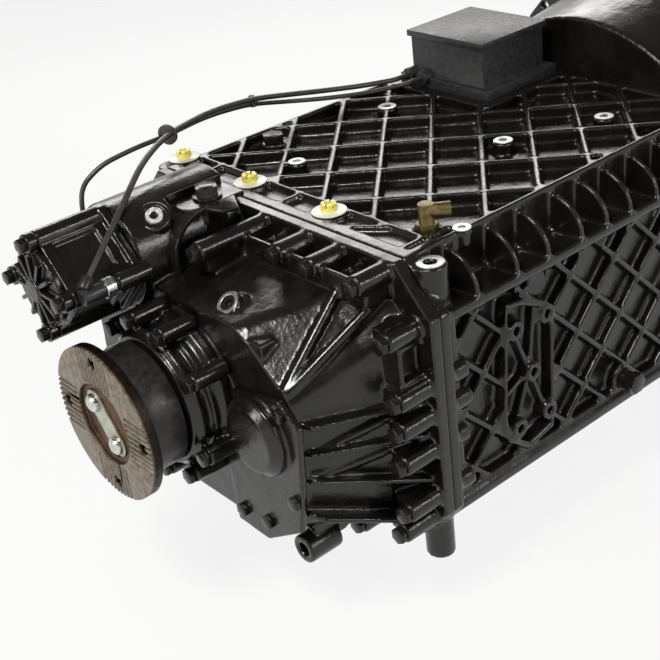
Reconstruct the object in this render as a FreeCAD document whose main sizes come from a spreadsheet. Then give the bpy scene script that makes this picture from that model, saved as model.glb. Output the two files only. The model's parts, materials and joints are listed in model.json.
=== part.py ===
import FreeCAD, Part
import math
import os

import Sketcher
from FreeCAD import Vector

# Heavy vehicle transmission: aluminium casing in three parts, two countershafts, planetary range group.
# Axes: +X runs forward from the output flange to the engine, +Y to the vehicle's left, +Z up.
# The origin is the centre of the output flange's mating face. All sizes are in millimetres.

SIZES = {
    # casing: planes along X and the outline that the three castings share
    "mating_x": 258, "front_x": 790, "bell_x": 950, "flange_wall": 14,
    "top_z": 157, "rail_half": 212, "shelf_z": 104, "side_half": 260, "wall_half": 247,
    "waist_z": -135, "bottom_half": 222, "bottom_z": -178, "top_wall": 9, "side_wall": 11,
    "top_rib_height": 17, "side_rib_height": 14, "rib_width": 7, "end_wall": 24,
    "top_step_a": 60, "top_step_b": 85, "top_angle": 45.5,
    "side_step_a": 61.5, "side_step_b": 48, "side_angle": 44.5,
    "pocket_start": 34, "post_radius": 18, "foot_radius": 17, "foot_y": 212, "foot_z": -225,
    # rear housing
    "rear_x": 115, "rear_middle": 200, "rear_half": 196, "rear_top": 110, "rear_bottom": -152,
    "belt_z": -35, "rear_wall": 9, "shell_radius": 30, "neck_radius": 92, "bearing_seat_depth": 35,
    "lug_radius": 12, "lug_length": 44, "long_lug": 94, "rib_proud": 12, "rib_thick": 6,
    "ledge_z": 146, "ledge_depth": 16, "frame_rim": 6,
    "port_x": 135, "port_y": -70, "port_z": 113, "port_radius": 15, "port_plug": 9,
    "tube_y": -108, "tube_z": 93, "drain_y": 160, "drain_z": -158, "drain_radius": 17,
    # bell housing, a number 1 engine flange
    "bell_pilot": 511.18, "bell_rim": 552, "bell_bolt_circle": 530.2, "bell_hole": 11,
    "bell_wall": 9, "bell_throat": 232, "bell_opening": 76, "bell_rim_thick": 13, "bell_pilot_depth": 6,
    # output flange, 180 mm with crossed teeth
    "flange_od": 180, "flange_thick": 13, "flange_bolt_circle": 150, "flange_hole": 14,
    "flange_recess": 92, "flange_recess_depth": 9, "tooth_pitch": 6.6, "tooth_depth": 3.3,
    "shield_radius": 72, "hub_radius": 50, "hub_front": 100, "shaft_bore": 34,
    "lock_bolt_offset": 26, "lock_bolt_radius": 6, "lock_half": 14.5, "lock_thick": 2.5,
    # output bearing, its cover and seal
    "cover_rear": 62, "cover_front": 112, "cover_radius": 84, "cover_bolt_ring": 93,
    "seal_bore": 62, "seal_width": 12, "cover_lip": 4, "bearing_od": 140, "bearing_width": 28,
    # shafts and gears
    "counter_y": 134.6, "counter_z": -10, "gear_start": 300, "gear_gap": 11,
    "gear_width": 38, "sleeve_width": 46, "shaft_radius": 32, "gear_bore_gap": 0.4,
    "counter_shaft_radius": 24, "journal_radius": 20, "roller_bearing_od": 80,
    "input_radius": 25.4, "input_end": 915, "pilot_radius": 12.5,
    "sun_teeth_length": 58, "planet_width": 50, "ring_pitch_radius": 88,
    "planet_pin_radius": 10, "carrier_radius": 84, "carrier_plate": 11, "carrier_rear": 152,
    # shifting
    "fork_thick": 9, "sleeve_radius": 62, "groove_depth": 8, "dog_radius": 50, "dog_reach": 5,
    "running_gap": 0.4, "hub_fit": 0.05,
    "rail_radius": 8, "rail_z": 117, "rail_y": 32, "shift_travel": 11, "rail_rear": 276, "rail_front": 778,
    "range_y": 103, "range_z": 127, "range_rear": 18, "range_front": 106, "range_bore": 74,
    "range_bolt_ring": 54, "range_rod_radius": 9, "socket_rear": 64,
    # power take-off cover
    "pto_plate_x": 107, "pto_dome_radius": 46, "pto_dome_depth": 17,
    # range sleeve and its lock ring
    "range_sleeve_length": 26, "lock_ring_reach": 24, "range_collar": 102, "range_sleeve_radius": 109,
    "range_groove": 3.5, "range_fork_radius": 115, "range_arm": 26,
    # cables, their plugs and ties
    "sensor_cable": 7, "speed_cable": 6, "tie_width": 5,
    # fittings on top of the casing
    "cap_x": 290, "cap_radius": 20, "cap_stem": 6, "elbow_x": 326, "elbow_y": -177,
    "top_plug_x": 391, "top_plug_y": 164, "bottom_plug_x": 520, "side_plug_x": 566, "side_plug_z": -119,
    "channel_depth": 8, "channel_start": 18, "channel_end": 46,
    "pad_x": 401, "pad_z": -29, "pad_half_x": 24.9, "pad_half_z": 62.9, "pad_hole": 5.1,
    "pad_proud": 5, "pad_boss": 12,
    "actuator_x": 640, "actuator_y": 30, "bracket_x": 210, "bracket_y": 53, "bracket_z": 169,
    # fasteners
    "bolt_flats": 17, "bolt_head": 8, "small_flats": 15, "joint_bolt_radius": 5, "joint_bolt_grip": 22,
}

# Teeth of the main gears: each pair adds up to the same number, so one centre distance serves all.
PAIR_TEETH = 36
MAIN_TEETH = {"reverse": 24, "first": 26, "second": 22, "third": 18, "input": 16}
COUNTER_TEETH = {"reverse": 8, "first": 10, "second": 14, "third": 18, "input": 20}
IDLER_TEETH = 9
SUN_TEETH, PLANET_TEETH, RING_TEETH, PLANETS = 12, 12, 36, 3
LOCK_LEAN = 52


class Size:
    """A number that remembers the sheet expression that it comes from."""

    def __init__(self, value, text):
        self.value, self.text = value, text

    def __add__(self, other):
        other = size(other)
        return Size(self.value + other.value, "(%s + %s)" % (self.text, other.text))

    def __sub__(self, other):
        other = size(other)
        return Size(self.value - other.value, "(%s - %s)" % (self.text, other.text))

    def __mul__(self, other):
        other = size(other)
        return Size(self.value * other.value, "(%s * %s)" % (self.text, other.text))

    def __truediv__(self, other):
        other = size(other)
        return Size(self.value / other.value, "(%s / %s)" % (self.text, other.text))

    def __radd__(self, other):
        return size(other) + self

    def __rsub__(self, other):
        return size(other) - self

    def __rmul__(self, other):
        return size(other) * self

    def __neg__(self):
        return Size(-self.value, "(0 - %s)" % self.text)


def size(number):
    if isinstance(number, Size):
        return number
    return Size(float(number), "(%r)" % round(float(number), 6))


class Dimensions:
    """The sheet's cells as attributes."""

    def __init__(self, sheet):
        for row, (name, number) in enumerate(SIZES.items(), start=1):
            sheet.set("A%d" % row, name)
            sheet.set("B%d" % row, str(number))
            sheet.setAlias("B%d" % row, name)
            setattr(self, name, Size(float(number), "Sizes." + name))


doc = FreeCAD.newDocument("Transmission")
sheet = doc.addObject("Spreadsheet::Sheet", "Sizes")
d = Dimensions(sheet)
doc.recompute()
nodes = []

AXIS_TURNS = {
    "x": FreeCAD.Rotation(Vector(0, 1, 0), 90),
    "y": FreeCAD.Rotation(Vector(1, 0, 0), -90),
    "z": FreeCAD.Rotation(),
}


def bind(obj, prop, number):
    obj.setExpression(prop, size(number).text)


def place(obj, x=0, y=0, z=0, turn=None):
    obj.Placement = FreeCAD.Placement(Vector(), turn or FreeCAD.Rotation())
    for axis, number in zip("xyz", (x, y, z)):
        bind(obj, "Placement.Base." + axis, number)


def heading(axis):
    """The turn that takes +Z to an axis given by its letter or as a direction."""
    if isinstance(axis, str):
        return AXIS_TURNS[axis]
    return FreeCAD.Rotation(Vector(0, 0, 1), Vector(*axis))


def rod(name, radius, length, x=0, y=0, z=0, axis="x"):
    """A cylinder whose base circle is centred at x, y, z and which runs along the axis."""
    obj = doc.addObject("Part::Cylinder", name)
    bind(obj, "Radius", radius)
    bind(obj, "Height", length)
    place(obj, x, y, z, heading(axis))
    return obj


def block(name, lengths, corner, turn=None):
    """A box with its lowest corner at corner, turned about that corner."""
    obj = doc.addObject("Part::Box", name)
    for prop, number in zip(("Length", "Width", "Height"), lengths):
        bind(obj, prop, number)
    place(obj, *corner, turn)
    return obj


def hexagon(name, flats, length, x=0, y=0, z=0, axis="x"):
    obj = doc.addObject("Part::Prism", name)
    obj.Polygon = 6
    bind(obj, "Circumradius", size(flats) / math.sqrt(3))
    bind(obj, "Height", length)
    place(obj, x, y, z, heading(axis))
    return obj


def fuse(name, parts):
    obj = doc.addObject("Part::MultiFuse", name)
    obj.Shapes = parts
    obj.Refine = True
    return obj


def group(name, parts):
    """Separate solids kept together."""
    obj = doc.addObject("Part::Compound", name)
    obj.Links = parts
    return obj


def cut(name, base, tool):
    obj = doc.addObject("Part::Cut", name)
    obj.Base = base
    obj.Tool = tool
    obj.Refine = True
    return obj


def made(name, shape):
    """A shape that is worked out from the sheet's values."""
    obj = doc.addObject("Part::Feature", name)
    obj.Shape = shape
    return obj


def node(obj, label):
    obj.Label = label
    nodes.append(obj)
    return obj


def origin_plane(body, role):
    return next(item for item in body.Origin.OriginFeatures if item.Role == role)


def polygon_sketch(body, role, points):
    """A closed outline in one origin plane, every corner dimensioned from the origin."""
    sketch = body.newObject("Sketcher::SketchObject", body.Name + "_outline")
    sketch.AttachmentSupport = [(origin_plane(body, role), "")]
    sketch.MapMode = "FlatFace"
    corners = [(size(a), size(b)) for a, b in points]
    vectors = [Vector(a.value, b.value, 0) for a, b in corners]
    count = len(corners)
    for index in range(count):
        sketch.addGeometry(Part.LineSegment(vectors[index], vectors[(index + 1) % count]), False)
    for index in range(count):
        sketch.addConstraint(Sketcher.Constraint("Coincident", index, 2, (index + 1) % count, 1))
    for index, (across, up) in enumerate(corners):
        for kind, number in (("DistanceX", across), ("DistanceY", up)):
            place_in = sketch.addConstraint(Sketcher.Constraint(kind, -1, 1, index, 1, number.value))
            sketch.setExpression("Constraints[%d]" % place_in, number.text)
    return sketch


def turned(name, points, x=0, y=0, z=0):
    """A body turned about a line along X: points are (x, radius)."""
    body = doc.addObject("PartDesign::Body", name)
    sketch = polygon_sketch(body, "XZ_Plane", points)
    feature = body.newObject("PartDesign::Revolution", name + "_turned")
    feature.Profile = sketch
    feature.ReferenceAxis = (sketch, ["H_Axis"])
    feature.Angle = 360
    sketch.Visibility = False
    place(body, x, y, z)
    return body


def padded(name, points, x, length):
    """A body with an outline in the YZ plane, padded along +X from x."""
    body = doc.addObject("PartDesign::Body", name)
    sketch = polygon_sketch(body, "YZ_Plane", points)
    feature = body.newObject("PartDesign::Pad", name + "_pad")
    feature.Profile = sketch
    bind(feature, "Length", length)
    place(body, x, 0, 0)
    return body


def ring(name, outer, inner, length, x=0, y=0, z=0):
    return turned(name, [(0, inner), (length, inner), (length, outer), (0, outer)], x, y, z)


def spoke(name, thick, width, inner, outer, angle, x, y=0, z=0):
    """A flat bar that runs outwards from a line along X, at an angle from +Y towards +Z."""
    lean = math.radians(angle)
    half = size(width) / 2
    y = y + inner * math.cos(lean) - half * math.sin(lean)
    z = z + inner * math.sin(lean) + half * math.cos(lean)
    turn = FreeCAD.Rotation(Vector(1, 0, 0), angle - 90)
    return block(name, (thick, width, size(outer) - inner), (x, y, z), turn)


def around(count, radius, start=0.0):
    """Places on a circle in the YZ plane."""
    for index in range(count):
        angle = math.radians(start + 360.0 * index / count)
        yield size(radius) * math.cos(angle), size(radius) * math.sin(angle)


# Gears

def gear_face(teeth, module, phase, inner=None, inward=False):
    """The face of a spur gear in the YZ plane; phase is the angle of one tooth's centre."""
    pitch = 2 * math.pi / teeth
    side = -1 if inward else 1
    pitch_radius = module * teeth / 2
    tip, root = pitch_radius + side * 0.72 * module, pitch_radius - side * 1.0 * module
    corners = []
    for index in range(teeth):
        centre = phase + index * pitch
        for radius, offset in ((root, -0.37), (tip, -0.115), (tip, 0.115), (root, 0.37)):
            angle = centre + offset * pitch
            corners.append(Vector(0, radius * math.cos(angle), radius * math.sin(angle)))
    outline = Part.Wire(Part.makePolygon(corners + corners[:1]))
    if inner is None:
        return Part.Face(outline)
    circle = Part.Wire(Part.makeCircle(inner, Vector(), Vector(1, 0, 0)))
    return Part.Face([circle, outline] if inward else [outline, circle], "Part::FaceMakerBullseye")


def gear(name, teeth, module, phase, width, x, y=0, z=0, inner=None, inward=False):
    face = gear_face(teeth, module.value, phase, None if inner is None else size(inner).value, inward)
    obj = made(name, face.extrude(Vector(size(width).value, 0, 0)))
    place(obj, x, y, z)
    return obj


def mesh_phase(phase, teeth, other_teeth, direction):
    """Phase of the gear that meshes outside a gear of known phase, in a direction from its centre."""
    return direction + math.pi - (phase - direction) * teeth / other_teeth + math.pi / other_teeth


def ring_phase(planet_phase, direction):
    return direction + (planet_phase - direction) * PLANET_TEETH / RING_TEETH + math.pi / RING_TEETH


CENTRE_DISTANCE = Size(math.hypot(d.counter_y.value, d.counter_z.value),
                       "sqrt(Sizes.counter_y ^ 2 + Sizes.counter_z ^ 2)")
MODULE = CENTRE_DISTANCE * 2 / PAIR_TEETH
RING_MODULE = d.ring_pitch_radius * 2 / RING_TEETH
SIDES = {"left": 1, "right": -1}


def stations():
    """Where each gear and sliding sleeve starts along X, from the rear."""
    places, x = {}, d.gear_start
    for name in ("reverse", "sleeve_low", "first", "second", "sleeve_high", "third", "sleeve_split",
                 "input"):
        places[name] = x
        width = d.sleeve_width if name.startswith("sleeve") else d.gear_width
        x = x + width + d.gear_gap
    return places


STATION = stations()


def counter_direction(side):
    return math.atan2(d.counter_z.value, side * d.counter_y.value)


def idler_centre(side):
    """The reverse idler's centre, which meshes with the countershaft and the reverse gear."""
    module = MODULE.value
    to_main = module * (MAIN_TEETH["reverse"] + IDLER_TEETH) / 2
    to_counter = module * (COUNTER_TEETH["reverse"] + IDLER_TEETH) / 2
    base = CENTRE_DISTANCE.value
    along = (to_main ** 2 - to_counter ** 2 + base ** 2) / (2 * base)
    beside = math.sqrt(to_main ** 2 - along ** 2)
    lean = counter_direction(side)
    across = lean - side * math.pi / 2
    return (along * math.cos(lean) + beside * math.cos(across),
            along * math.sin(lean) + beside * math.sin(across))


def idler_phases(side):
    """Phases of the idler and of the countershaft's reverse gear."""
    y, z = idler_centre(side)
    from_main = math.atan2(z, y)
    idler = mesh_phase(0.0, MAIN_TEETH["reverse"], IDLER_TEETH, from_main)
    to_counter = math.atan2(d.counter_z.value - z, side * d.counter_y.value - y)
    return idler, mesh_phase(idler, IDLER_TEETH, COUNTER_TEETH["reverse"], to_counter)


DOG_SIDES = {"reverse": (1,), "first": (-1,), "second": (1,), "third": (-1, 1), "input": (-1,)}


def main_gear(name):
    """A gear that turns freely on its shaft, with a dog ring on each side that a sleeve reaches."""
    bore = d.shaft_radius + d.gear_bore_gap
    parts = [gear(name + "_teeth", MAIN_TEETH[name], MODULE, 0.0, d.gear_width, STATION[name], inner=bore)]
    length = d.gear_gap + d.dog_reach
    for side in DOG_SIDES[name]:
        x = STATION[name] - length if side < 0 else STATION[name] + d.gear_width
        parts.append(ring("%s_dog_%d" % (name, side + 1), d.dog_radius, bore, length, x))
    return node(fuse(name + "_gear", parts), name + "_gear")


def countershaft(label):
    side = SIDES[label]
    y, z = side * d.counter_y, d.counter_z
    start, end = d.mating_x + 8, d.front_x - 4
    body_start, body_end = d.gear_start - 6, d.front_x - d.end_wall - 4
    shaft = turned("countershaft_%s_shaft" % label, [
        (start, 0), (end, 0), (end, d.journal_radius), (body_end, d.journal_radius),
        (body_end, d.counter_shaft_radius), (body_start, d.counter_shaft_radius),
        (body_start, d.journal_radius), (start, d.journal_radius)], 0, y, z)
    parts = [shaft]
    for name, teeth in COUNTER_TEETH.items():
        if name == "reverse":
            phase = idler_phases(side)[1]
        else:
            phase = mesh_phase(0.0, MAIN_TEETH[name], teeth, counter_direction(side))
        parts.append(gear("counter_%s_%s" % (label, name), teeth, MODULE, phase,
                          d.gear_width, STATION[name], y, z))
    return node(fuse("countershaft_" + label, parts), "countershaft_" + label)


def reverse_idler(label):
    y, z = idler_centre(SIDES[label])
    phase = idler_phases(SIDES[label])[0]
    return node(gear("idler_teeth_" + label, IDLER_TEETH, MODULE, phase, d.gear_width,
                     STATION["reverse"], y, z, inner=d.rail_radius + 2 + d.gear_bore_gap),
                "reverse_idler_" + label)


def idler_pins():
    pins = []
    for label, side in SIDES.items():
        y, z = idler_centre(side)
        pins.append(rod("idler_pin_" + label, d.rail_radius + 2, d.gear_width + 50,
                        d.mating_x + d.end_wall - 10, y, z))
    return node(group("idler_pins", pins), "idler_pins")


def main_shaft():
    """The main shaft with its sun gear at the rear and its pilot inside the input shaft."""
    rear = d.carrier_rear + 8
    sun_start = d.carrier_rear + d.carrier_plate
    bearing_end = d.mating_x + d.end_wall + 8
    pilot_start = STATION["sleeve_split"] - 2
    shaft = turned("main_shaft_body", [
        (rear, 0), (pilot_start + 34, 0), (pilot_start + 34, d.pilot_radius),
        (pilot_start, d.pilot_radius), (pilot_start, d.shaft_radius),
        (bearing_end + 4, d.shaft_radius), (bearing_end + 4, d.shaft_radius + 5),
        (bearing_end, d.shaft_radius + 5), (bearing_end, d.journal_radius + 8),
        (sun_start + d.sun_teeth_length + 14, d.journal_radius + 8),
        (sun_start + d.sun_teeth_length + 14, d.journal_radius), (rear, d.journal_radius)])
    sun = gear("sun_teeth", SUN_TEETH, RING_MODULE, 0.0, d.sun_teeth_length, sun_start)
    hubs = [ring("hub_" + name, d.dog_radius, d.shaft_radius - 1,
                 d.sleeve_width - 2 * d.shift_travel, STATION[name] + d.shift_travel)
            for name in ("sleeve_low", "sleeve_high")]
    return node(fuse("main_shaft", [shaft, sun] + hubs), "main_shaft")


def planet_directions():
    return [math.pi / 4 + 2 * math.pi * index / PLANETS for index in range(PLANETS)]


def planet(index, direction):
    radius = RING_MODULE * (SUN_TEETH + PLANET_TEETH) / 2
    phase = mesh_phase(0.0, SUN_TEETH, PLANET_TEETH, direction)
    y, z = radius * math.cos(direction), radius * math.sin(direction)
    name = "planet_gear_%d" % (index + 1)
    return node(gear(name, PLANET_TEETH, RING_MODULE, phase, d.planet_width,
                     d.carrier_rear + d.carrier_plate + 4, y, z,
                     inner=d.planet_pin_radius + d.gear_bore_gap), name)


def ring_gear():
    direction = planet_directions()[0]
    phase = ring_phase(mesh_phase(0.0, SUN_TEETH, PLANET_TEETH, direction), direction)
    x = d.carrier_rear + d.carrier_plate + 2
    toothed = gear("ring_teeth", RING_TEETH, RING_MODULE, phase, d.planet_width + 4, x,
                   inner=d.range_collar, inward=True)
    collar = ring("ring_collar", d.range_collar, d.range_collar - 7, 10, x + d.planet_width + 2)
    return node(fuse("ring_gear", [toothed, collar]), "ring_gear")


def planet_carrier():
    """Two plates joined by posts between the planets; the rear plate is part of the output side."""
    x = d.carrier_rear
    front = x + d.carrier_plate + d.planet_width + 8
    rear_plate = ring("carrier_rear_plate", d.carrier_radius, d.journal_radius + 12, d.carrier_plate, x)
    sun_clear = RING_MODULE * (SUN_TEETH / 2 + 1) + 2
    front_plate = ring("carrier_front_plate", d.carrier_radius, sun_clear, d.carrier_plate - 3, front)
    posts = [rod("carrier_post_%d" % i, 9, front - x - d.carrier_plate + 2, x + d.carrier_plate - 1, y, z)
             for i, (y, z) in enumerate(around(PLANETS, d.carrier_radius - 14, 45 + 180 / PLANETS))]
    parts = fuse("carrier_blank", [rear_plate, front_plate] + posts)
    radius = RING_MODULE * (SUN_TEETH + PLANET_TEETH) / 2
    holes = [rod("pin_hole_%d" % i, d.planet_pin_radius, front - x + d.carrier_plate, x - 1, y, z)
             for i, (y, z) in enumerate(around(PLANETS, radius, 45))]
    return node(cut("planet_carrier", parts, group("pin_holes", holes)), "planet_carrier")


def planet_pins():
    radius = RING_MODULE * (SUN_TEETH + PLANET_TEETH) / 2
    length = 2 * d.carrier_plate + d.planet_width + 5
    pins = [rod("planet_pin_%d" % i, d.planet_pin_radius, length, d.carrier_rear, y, z)
            for i, (y, z) in enumerate(around(PLANETS, radius, 45))]
    return node(group("planet_pins", pins), "planet_pins")


def lock_bolt_places():
    """The two bolts that hold the flange on its shaft, opposite each other on a leaning line."""
    return list(around(2, d.lock_bolt_offset, LOCK_LEAN))


def output_shaft():
    rear, journal = 16, d.journal_radius + 25
    shaft = turned("output_shaft_body", [
        (rear, 0), (d.carrier_rear + 4, 0), (d.carrier_rear + 4, d.journal_radius + 12),
        (d.carrier_rear, d.journal_radius + 12), (d.carrier_rear, journal + 6),
        (d.carrier_rear - 6, journal + 6), (d.carrier_rear - 6, journal),
        (d.hub_front + 2, journal), (d.hub_front + 2, d.shaft_bore), (rear, d.shaft_bore)])
    holes = [rod("shaft_hole_%d" % i, d.lock_bolt_radius, 34, rear - 1, y, z)
             for i, (y, z) in enumerate(lock_bolt_places())]
    return node(cut("output_shaft", shaft, group("shaft_holes", holes)), "output_shaft")


def input_shaft():
    """The input shaft with a pocket for the main shaft's pilot, and its hub for the splitter sleeve."""
    hub_start = STATION["sleeve_split"]
    bearing_start = d.front_x - d.end_wall
    splined = d.input_end - 110
    shaft = turned("input_shaft_body", [
        (hub_start, d.pilot_radius + 0.4), (hub_start + 36, d.pilot_radius + 0.4), (hub_start + 36, 0),
        (d.input_end + 20, 0), (d.input_end + 20, 12.5), (d.input_end, 12.5),
        (d.input_end, d.input_radius - 3.4), (splined, d.input_radius - 3.4),
        (splined, d.input_radius), (bearing_start + d.end_wall + 20, d.input_radius),
        (bearing_start + d.end_wall + 20, d.journal_radius + 8), (bearing_start - 6, d.journal_radius + 8),
        (bearing_start - 6, d.shaft_radius), (hub_start, d.shaft_radius)])
    hub = ring("splitter_hub", d.dog_radius, d.shaft_radius + d.hub_fit,
               d.sleeve_width - 2 * d.shift_travel, hub_start + d.shift_travel)
    node(hub, "splitter_hub")
    teeth = 10
    width = d.input_radius * 2 * math.sin(math.pi / teeth / 2)
    inner, outer = d.input_radius - 6.4, d.input_radius - 0.4
    spline_parts = [shaft] + [
        spoke("spline_%d" % index, d.input_end - splined - 4, width, inner, outer,
              360 * index / teeth, splined + 4) for index in range(teeth)]
    return node(fuse("input_shaft", spline_parts), "input_shaft")


# Bearings: an outer ring and its rollers, which run on the shaft's own journal

def roller_bearing(name, outer, journal, width, x, y=0, z=0, rollers=12):
    thick = (outer - journal) / 4
    race = ring(name + "_race", outer, outer - thick, width, x, y, z)
    middle = (outer - thick + journal) / 2
    radius = (outer - thick - journal) / 2 - d.gear_bore_gap
    parts = [race]
    for index, (dy, dz) in enumerate(around(rollers, middle, 15)):
        parts.append(rod("%s_roller_%d" % (name, index), radius, width - 4, x + 2, y + dy, z + dz))
    return parts


def shaft_bearings():
    rear_x, front_x = d.mating_x + 10, d.front_x - d.end_wall + 2
    outer = d.roller_bearing_od / 2
    bearings = []
    for label, side in SIDES.items():
        y, z = side * d.counter_y, d.counter_z
        bearings += roller_bearing("counter_rear_" + label, outer, d.journal_radius, 20, rear_x, y, z, 9)
        bearings += roller_bearing("counter_front_" + label, outer, d.journal_radius, 20, front_x, y, z, 9)
    bearings += roller_bearing("main_rear", outer + 8, d.journal_radius + 8, 20, rear_x, 0, 0, 12)
    bearings += roller_bearing("input_front", outer + 8, d.journal_radius + 8, 20, front_x, 0, 0, 12)
    node(group("shaft_bearings", bearings), "shaft_bearings")
    output = roller_bearing("output_main", d.bearing_od / 2, d.journal_radius + 25, d.bearing_width,
                            d.cover_front + 2, 0, 0, 14)
    node(group("output_bearing", output), "output_bearing")


# Sleeves and forks

def sleeve(name, station):
    """A sliding sleeve with a groove round it for the shift fork."""
    outer, inner = d.sleeve_radius, d.dog_radius + d.running_gap
    groove = d.sleeve_radius - d.groove_depth
    length = d.sleeve_width - 2 * d.shift_travel
    mid = length / 2
    half = d.fork_thick / 2 + d.running_gap
    return node(turned(name, [
        (0, inner), (length, inner), (length, outer), (mid + half, outer), (mid + half, groove),
        (mid - half, groove), (mid - half, outer), (0, outer)], station + d.shift_travel), name)


def fork(name, station, rail_y):
    """A shift fork: a half ring in the sleeve's groove, an arm up to its rail and the rail itself."""
    mid = station + d.sleeve_width / 2
    inner, outer = d.sleeve_radius - d.groove_depth + 1, d.sleeve_radius + 9
    x = mid - d.fork_thick / 2
    full = ring(name + "_ring", outer, inner, d.fork_thick, x)
    half = block(name + "_half", (d.fork_thick + 2, outer * 2 + 2, outer + 1),
                 (x - 1, -outer - 1, -outer - 1))
    yoke = cut(name + "_yoke", full, half)
    arm = block(name + "_arm", (d.fork_thick, 26, d.rail_z - outer + 6), (x, rail_y - 13, outer - 8))
    boss = rod(name + "_boss", d.rail_radius + 5, d.sleeve_width - 16, station + 8, rail_y, d.rail_z)
    rail = rod(name + "_rail", d.rail_radius, d.rail_front - d.rail_rear, d.rail_rear, rail_y, d.rail_z)
    rounded = fuse(name + "_body", [yoke, arm, boss, rail])
    return node(rounded, name)


def range_rod_place():
    """How far the range rod lies from the shafts' axis, and at what angle from +Y."""
    y, z = d.range_y, d.range_z
    reach = Size(math.hypot(y.value, z.value), "sqrt(Sizes.range_y ^ 2 + Sizes.range_z ^ 2)")
    return reach, math.degrees(math.atan2(z.value, y.value))


def range_shift():
    """Piston and rod, fork and sleeve of the range group, which slide together."""
    y, z = d.range_y, d.range_z
    piston_x = d.range_rear + 22
    bore = d.range_bore / 2 - d.running_gap
    sleeve_x = d.carrier_rear + d.carrier_plate + d.planet_width + 8
    rod_end = sleeve_x + 20
    node(turned("range_piston", [
        (0, 0), (rod_end - piston_x, 0), (rod_end - piston_x, d.range_rod_radius), (20, d.range_rod_radius),
        (20, bore), (13, bore), (13, bore - 4), (7, bore - 4), (7, bore), (0, bore)], piston_x, y, z),
        "range_piston")
    outer, inner = d.range_sleeve_radius, d.range_collar + d.running_gap
    groove = outer - d.range_groove
    middle, half = 12, d.fork_thick / 2 + 0.5
    node(turned("range_sleeve", [
        (0, inner), (d.range_sleeve_length, inner), (d.range_sleeve_length, outer), (middle + half, outer),
        (middle + half, groove), (middle - half, groove), (middle - half, outer), (0, outer)], sleeve_x),
        "range_sleeve")
    x = sleeve_x + middle - d.fork_thick / 2
    full = ring("range_fork_ring", d.range_fork_radius, groove + d.running_gap, d.fork_thick, x)
    span = d.range_fork_radius + 1
    away = block("range_fork_away", (d.fork_thick + 2, span * 2, span), (x - 1, -span, -span))
    yoke = cut("range_fork_yoke", full, away)
    reach, lean = range_rod_place()
    arm = spoke("range_fork_arm", d.fork_thick, d.range_arm, d.range_fork_radius - 4, reach - 6, lean, x)
    boss = rod("range_fork_boss", d.range_rod_radius + 7, d.fork_thick + 6, x - 3, y, z)
    solid = fuse("range_fork_blank", [yoke, arm, boss])
    hole = rod("range_fork_hole", d.range_rod_radius, d.fork_thick + 20, x - 10, y, z)
    node(cut("range_fork", solid, hole), "range_fork")


def range_cylinder():
    """The range shift cylinder behind the rear wall, with four long bolt bosses and a webbed cover."""
    y, z = d.range_y, d.range_z
    length = d.range_front - d.range_rear
    barrel = rod("range_barrel", d.range_bore / 2 + 9, length, d.range_rear, y, z)
    bosses = [rod("range_boss_%d" % i, 11, length, d.range_rear, y + dy, z + dz)
              for i, (dy, dz) in enumerate(around(4, d.range_bolt_ring, 0))]
    diagonal = d.range_bolt_ring * math.sqrt(2)
    panel = block("range_panel", (length - 12, diagonal - 6, diagonal - 6), (0, 0, 0))
    turn = FreeCAD.Rotation(Vector(1, 0, 0), 45)
    place(panel, d.range_rear + 4, y, z - (diagonal - 6) * math.sqrt(0.5), turn)
    side = diagonal + 12
    foot = block("range_foot", (9, side, side), (d.range_front - 9, y, z - side * math.sqrt(0.5)), turn)
    switch_y, switch_z = SWITCH_PLACE
    depth = d.range_front - d.socket_rear
    socket = [rod("switch_socket", 11, depth, d.socket_rear, switch_y, switch_z),
              block("switch_web", (depth, 30, 12), (d.socket_rear, switch_y, switch_z - 8))]
    solid = fuse("range_cylinder_solid", [barrel, panel, foot] + bosses + socket)
    bore = rod("range_cylinder_bore", d.range_bore / 2, length - 10, d.range_rear - 1, y, z)
    way = rod("range_cylinder_way", d.range_rod_radius + d.running_gap, length + 10, d.range_rear, y, z)
    holes = [rod("range_bolt_hole_%d" % i, 5, length + 2, d.range_rear - 1, y + dy, z + dz)
             for i, (dy, dz) in enumerate(around(4, d.range_bolt_ring, 0))]
    holes.append(rod("switch_hole", 5.3, 20, d.socket_rear - 1, switch_y, switch_z))
    tools = fuse("range_cylinder_tools", [bore, way] + holes)
    node(cut("range_cylinder", solid, tools), "range_cylinder")


def range_cover():
    y, z = d.range_y, d.range_z
    x = d.range_rear - 16
    plate = rod("range_cover_plate", d.range_bore / 2 + 9, 7, d.range_rear - 7, y, z)
    hub = rod("range_cover_hub", 13, 16, x, y, z)
    bosses = [rod("range_cover_boss_%d" % i, 11, 12, d.range_rear - 12, y + dy, z + dz)
              for i, (dy, dz) in enumerate(around(4, d.range_bolt_ring, 0))]
    webs = []
    for index in range(12):
        angle = 360.0 * index / 12
        turn = FreeCAD.Rotation(Vector(1, 0, 0), angle)
        web = block("range_web_%d" % index, (9, 5, d.range_bore / 2 + 4), (0, 0, 0), turn)
        lean = math.radians(angle)
        place(web, d.range_rear - 14, y - 2.5 * math.cos(lean), z - 2.5 * math.sin(lean), turn)
        webs.append(web)
    solid = fuse("range_cover_solid", [plate, hub] + bosses + webs)
    holes = [rod("range_cover_hole_%d" % i, 5, 20, d.range_rear - 15, y + dy, z + dz)
             for i, (dy, dz) in enumerate(around(4, d.range_bolt_ring, 0))]
    node(cut("range_cylinder_cover", solid, group("range_cover_holes", holes)), "range_cylinder_cover")


def bolt_at(name, x, y, z, flats, head, shank_radius, shank):
    """A hexagon bolt along +X with its head behind x."""
    cap = hexagon(name + "_head", flats, head, x - head, y, z)
    stem = rod(name + "_shank", shank_radius, shank, x - 1, y, z)
    return fuse(name, [cap, stem])


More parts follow.
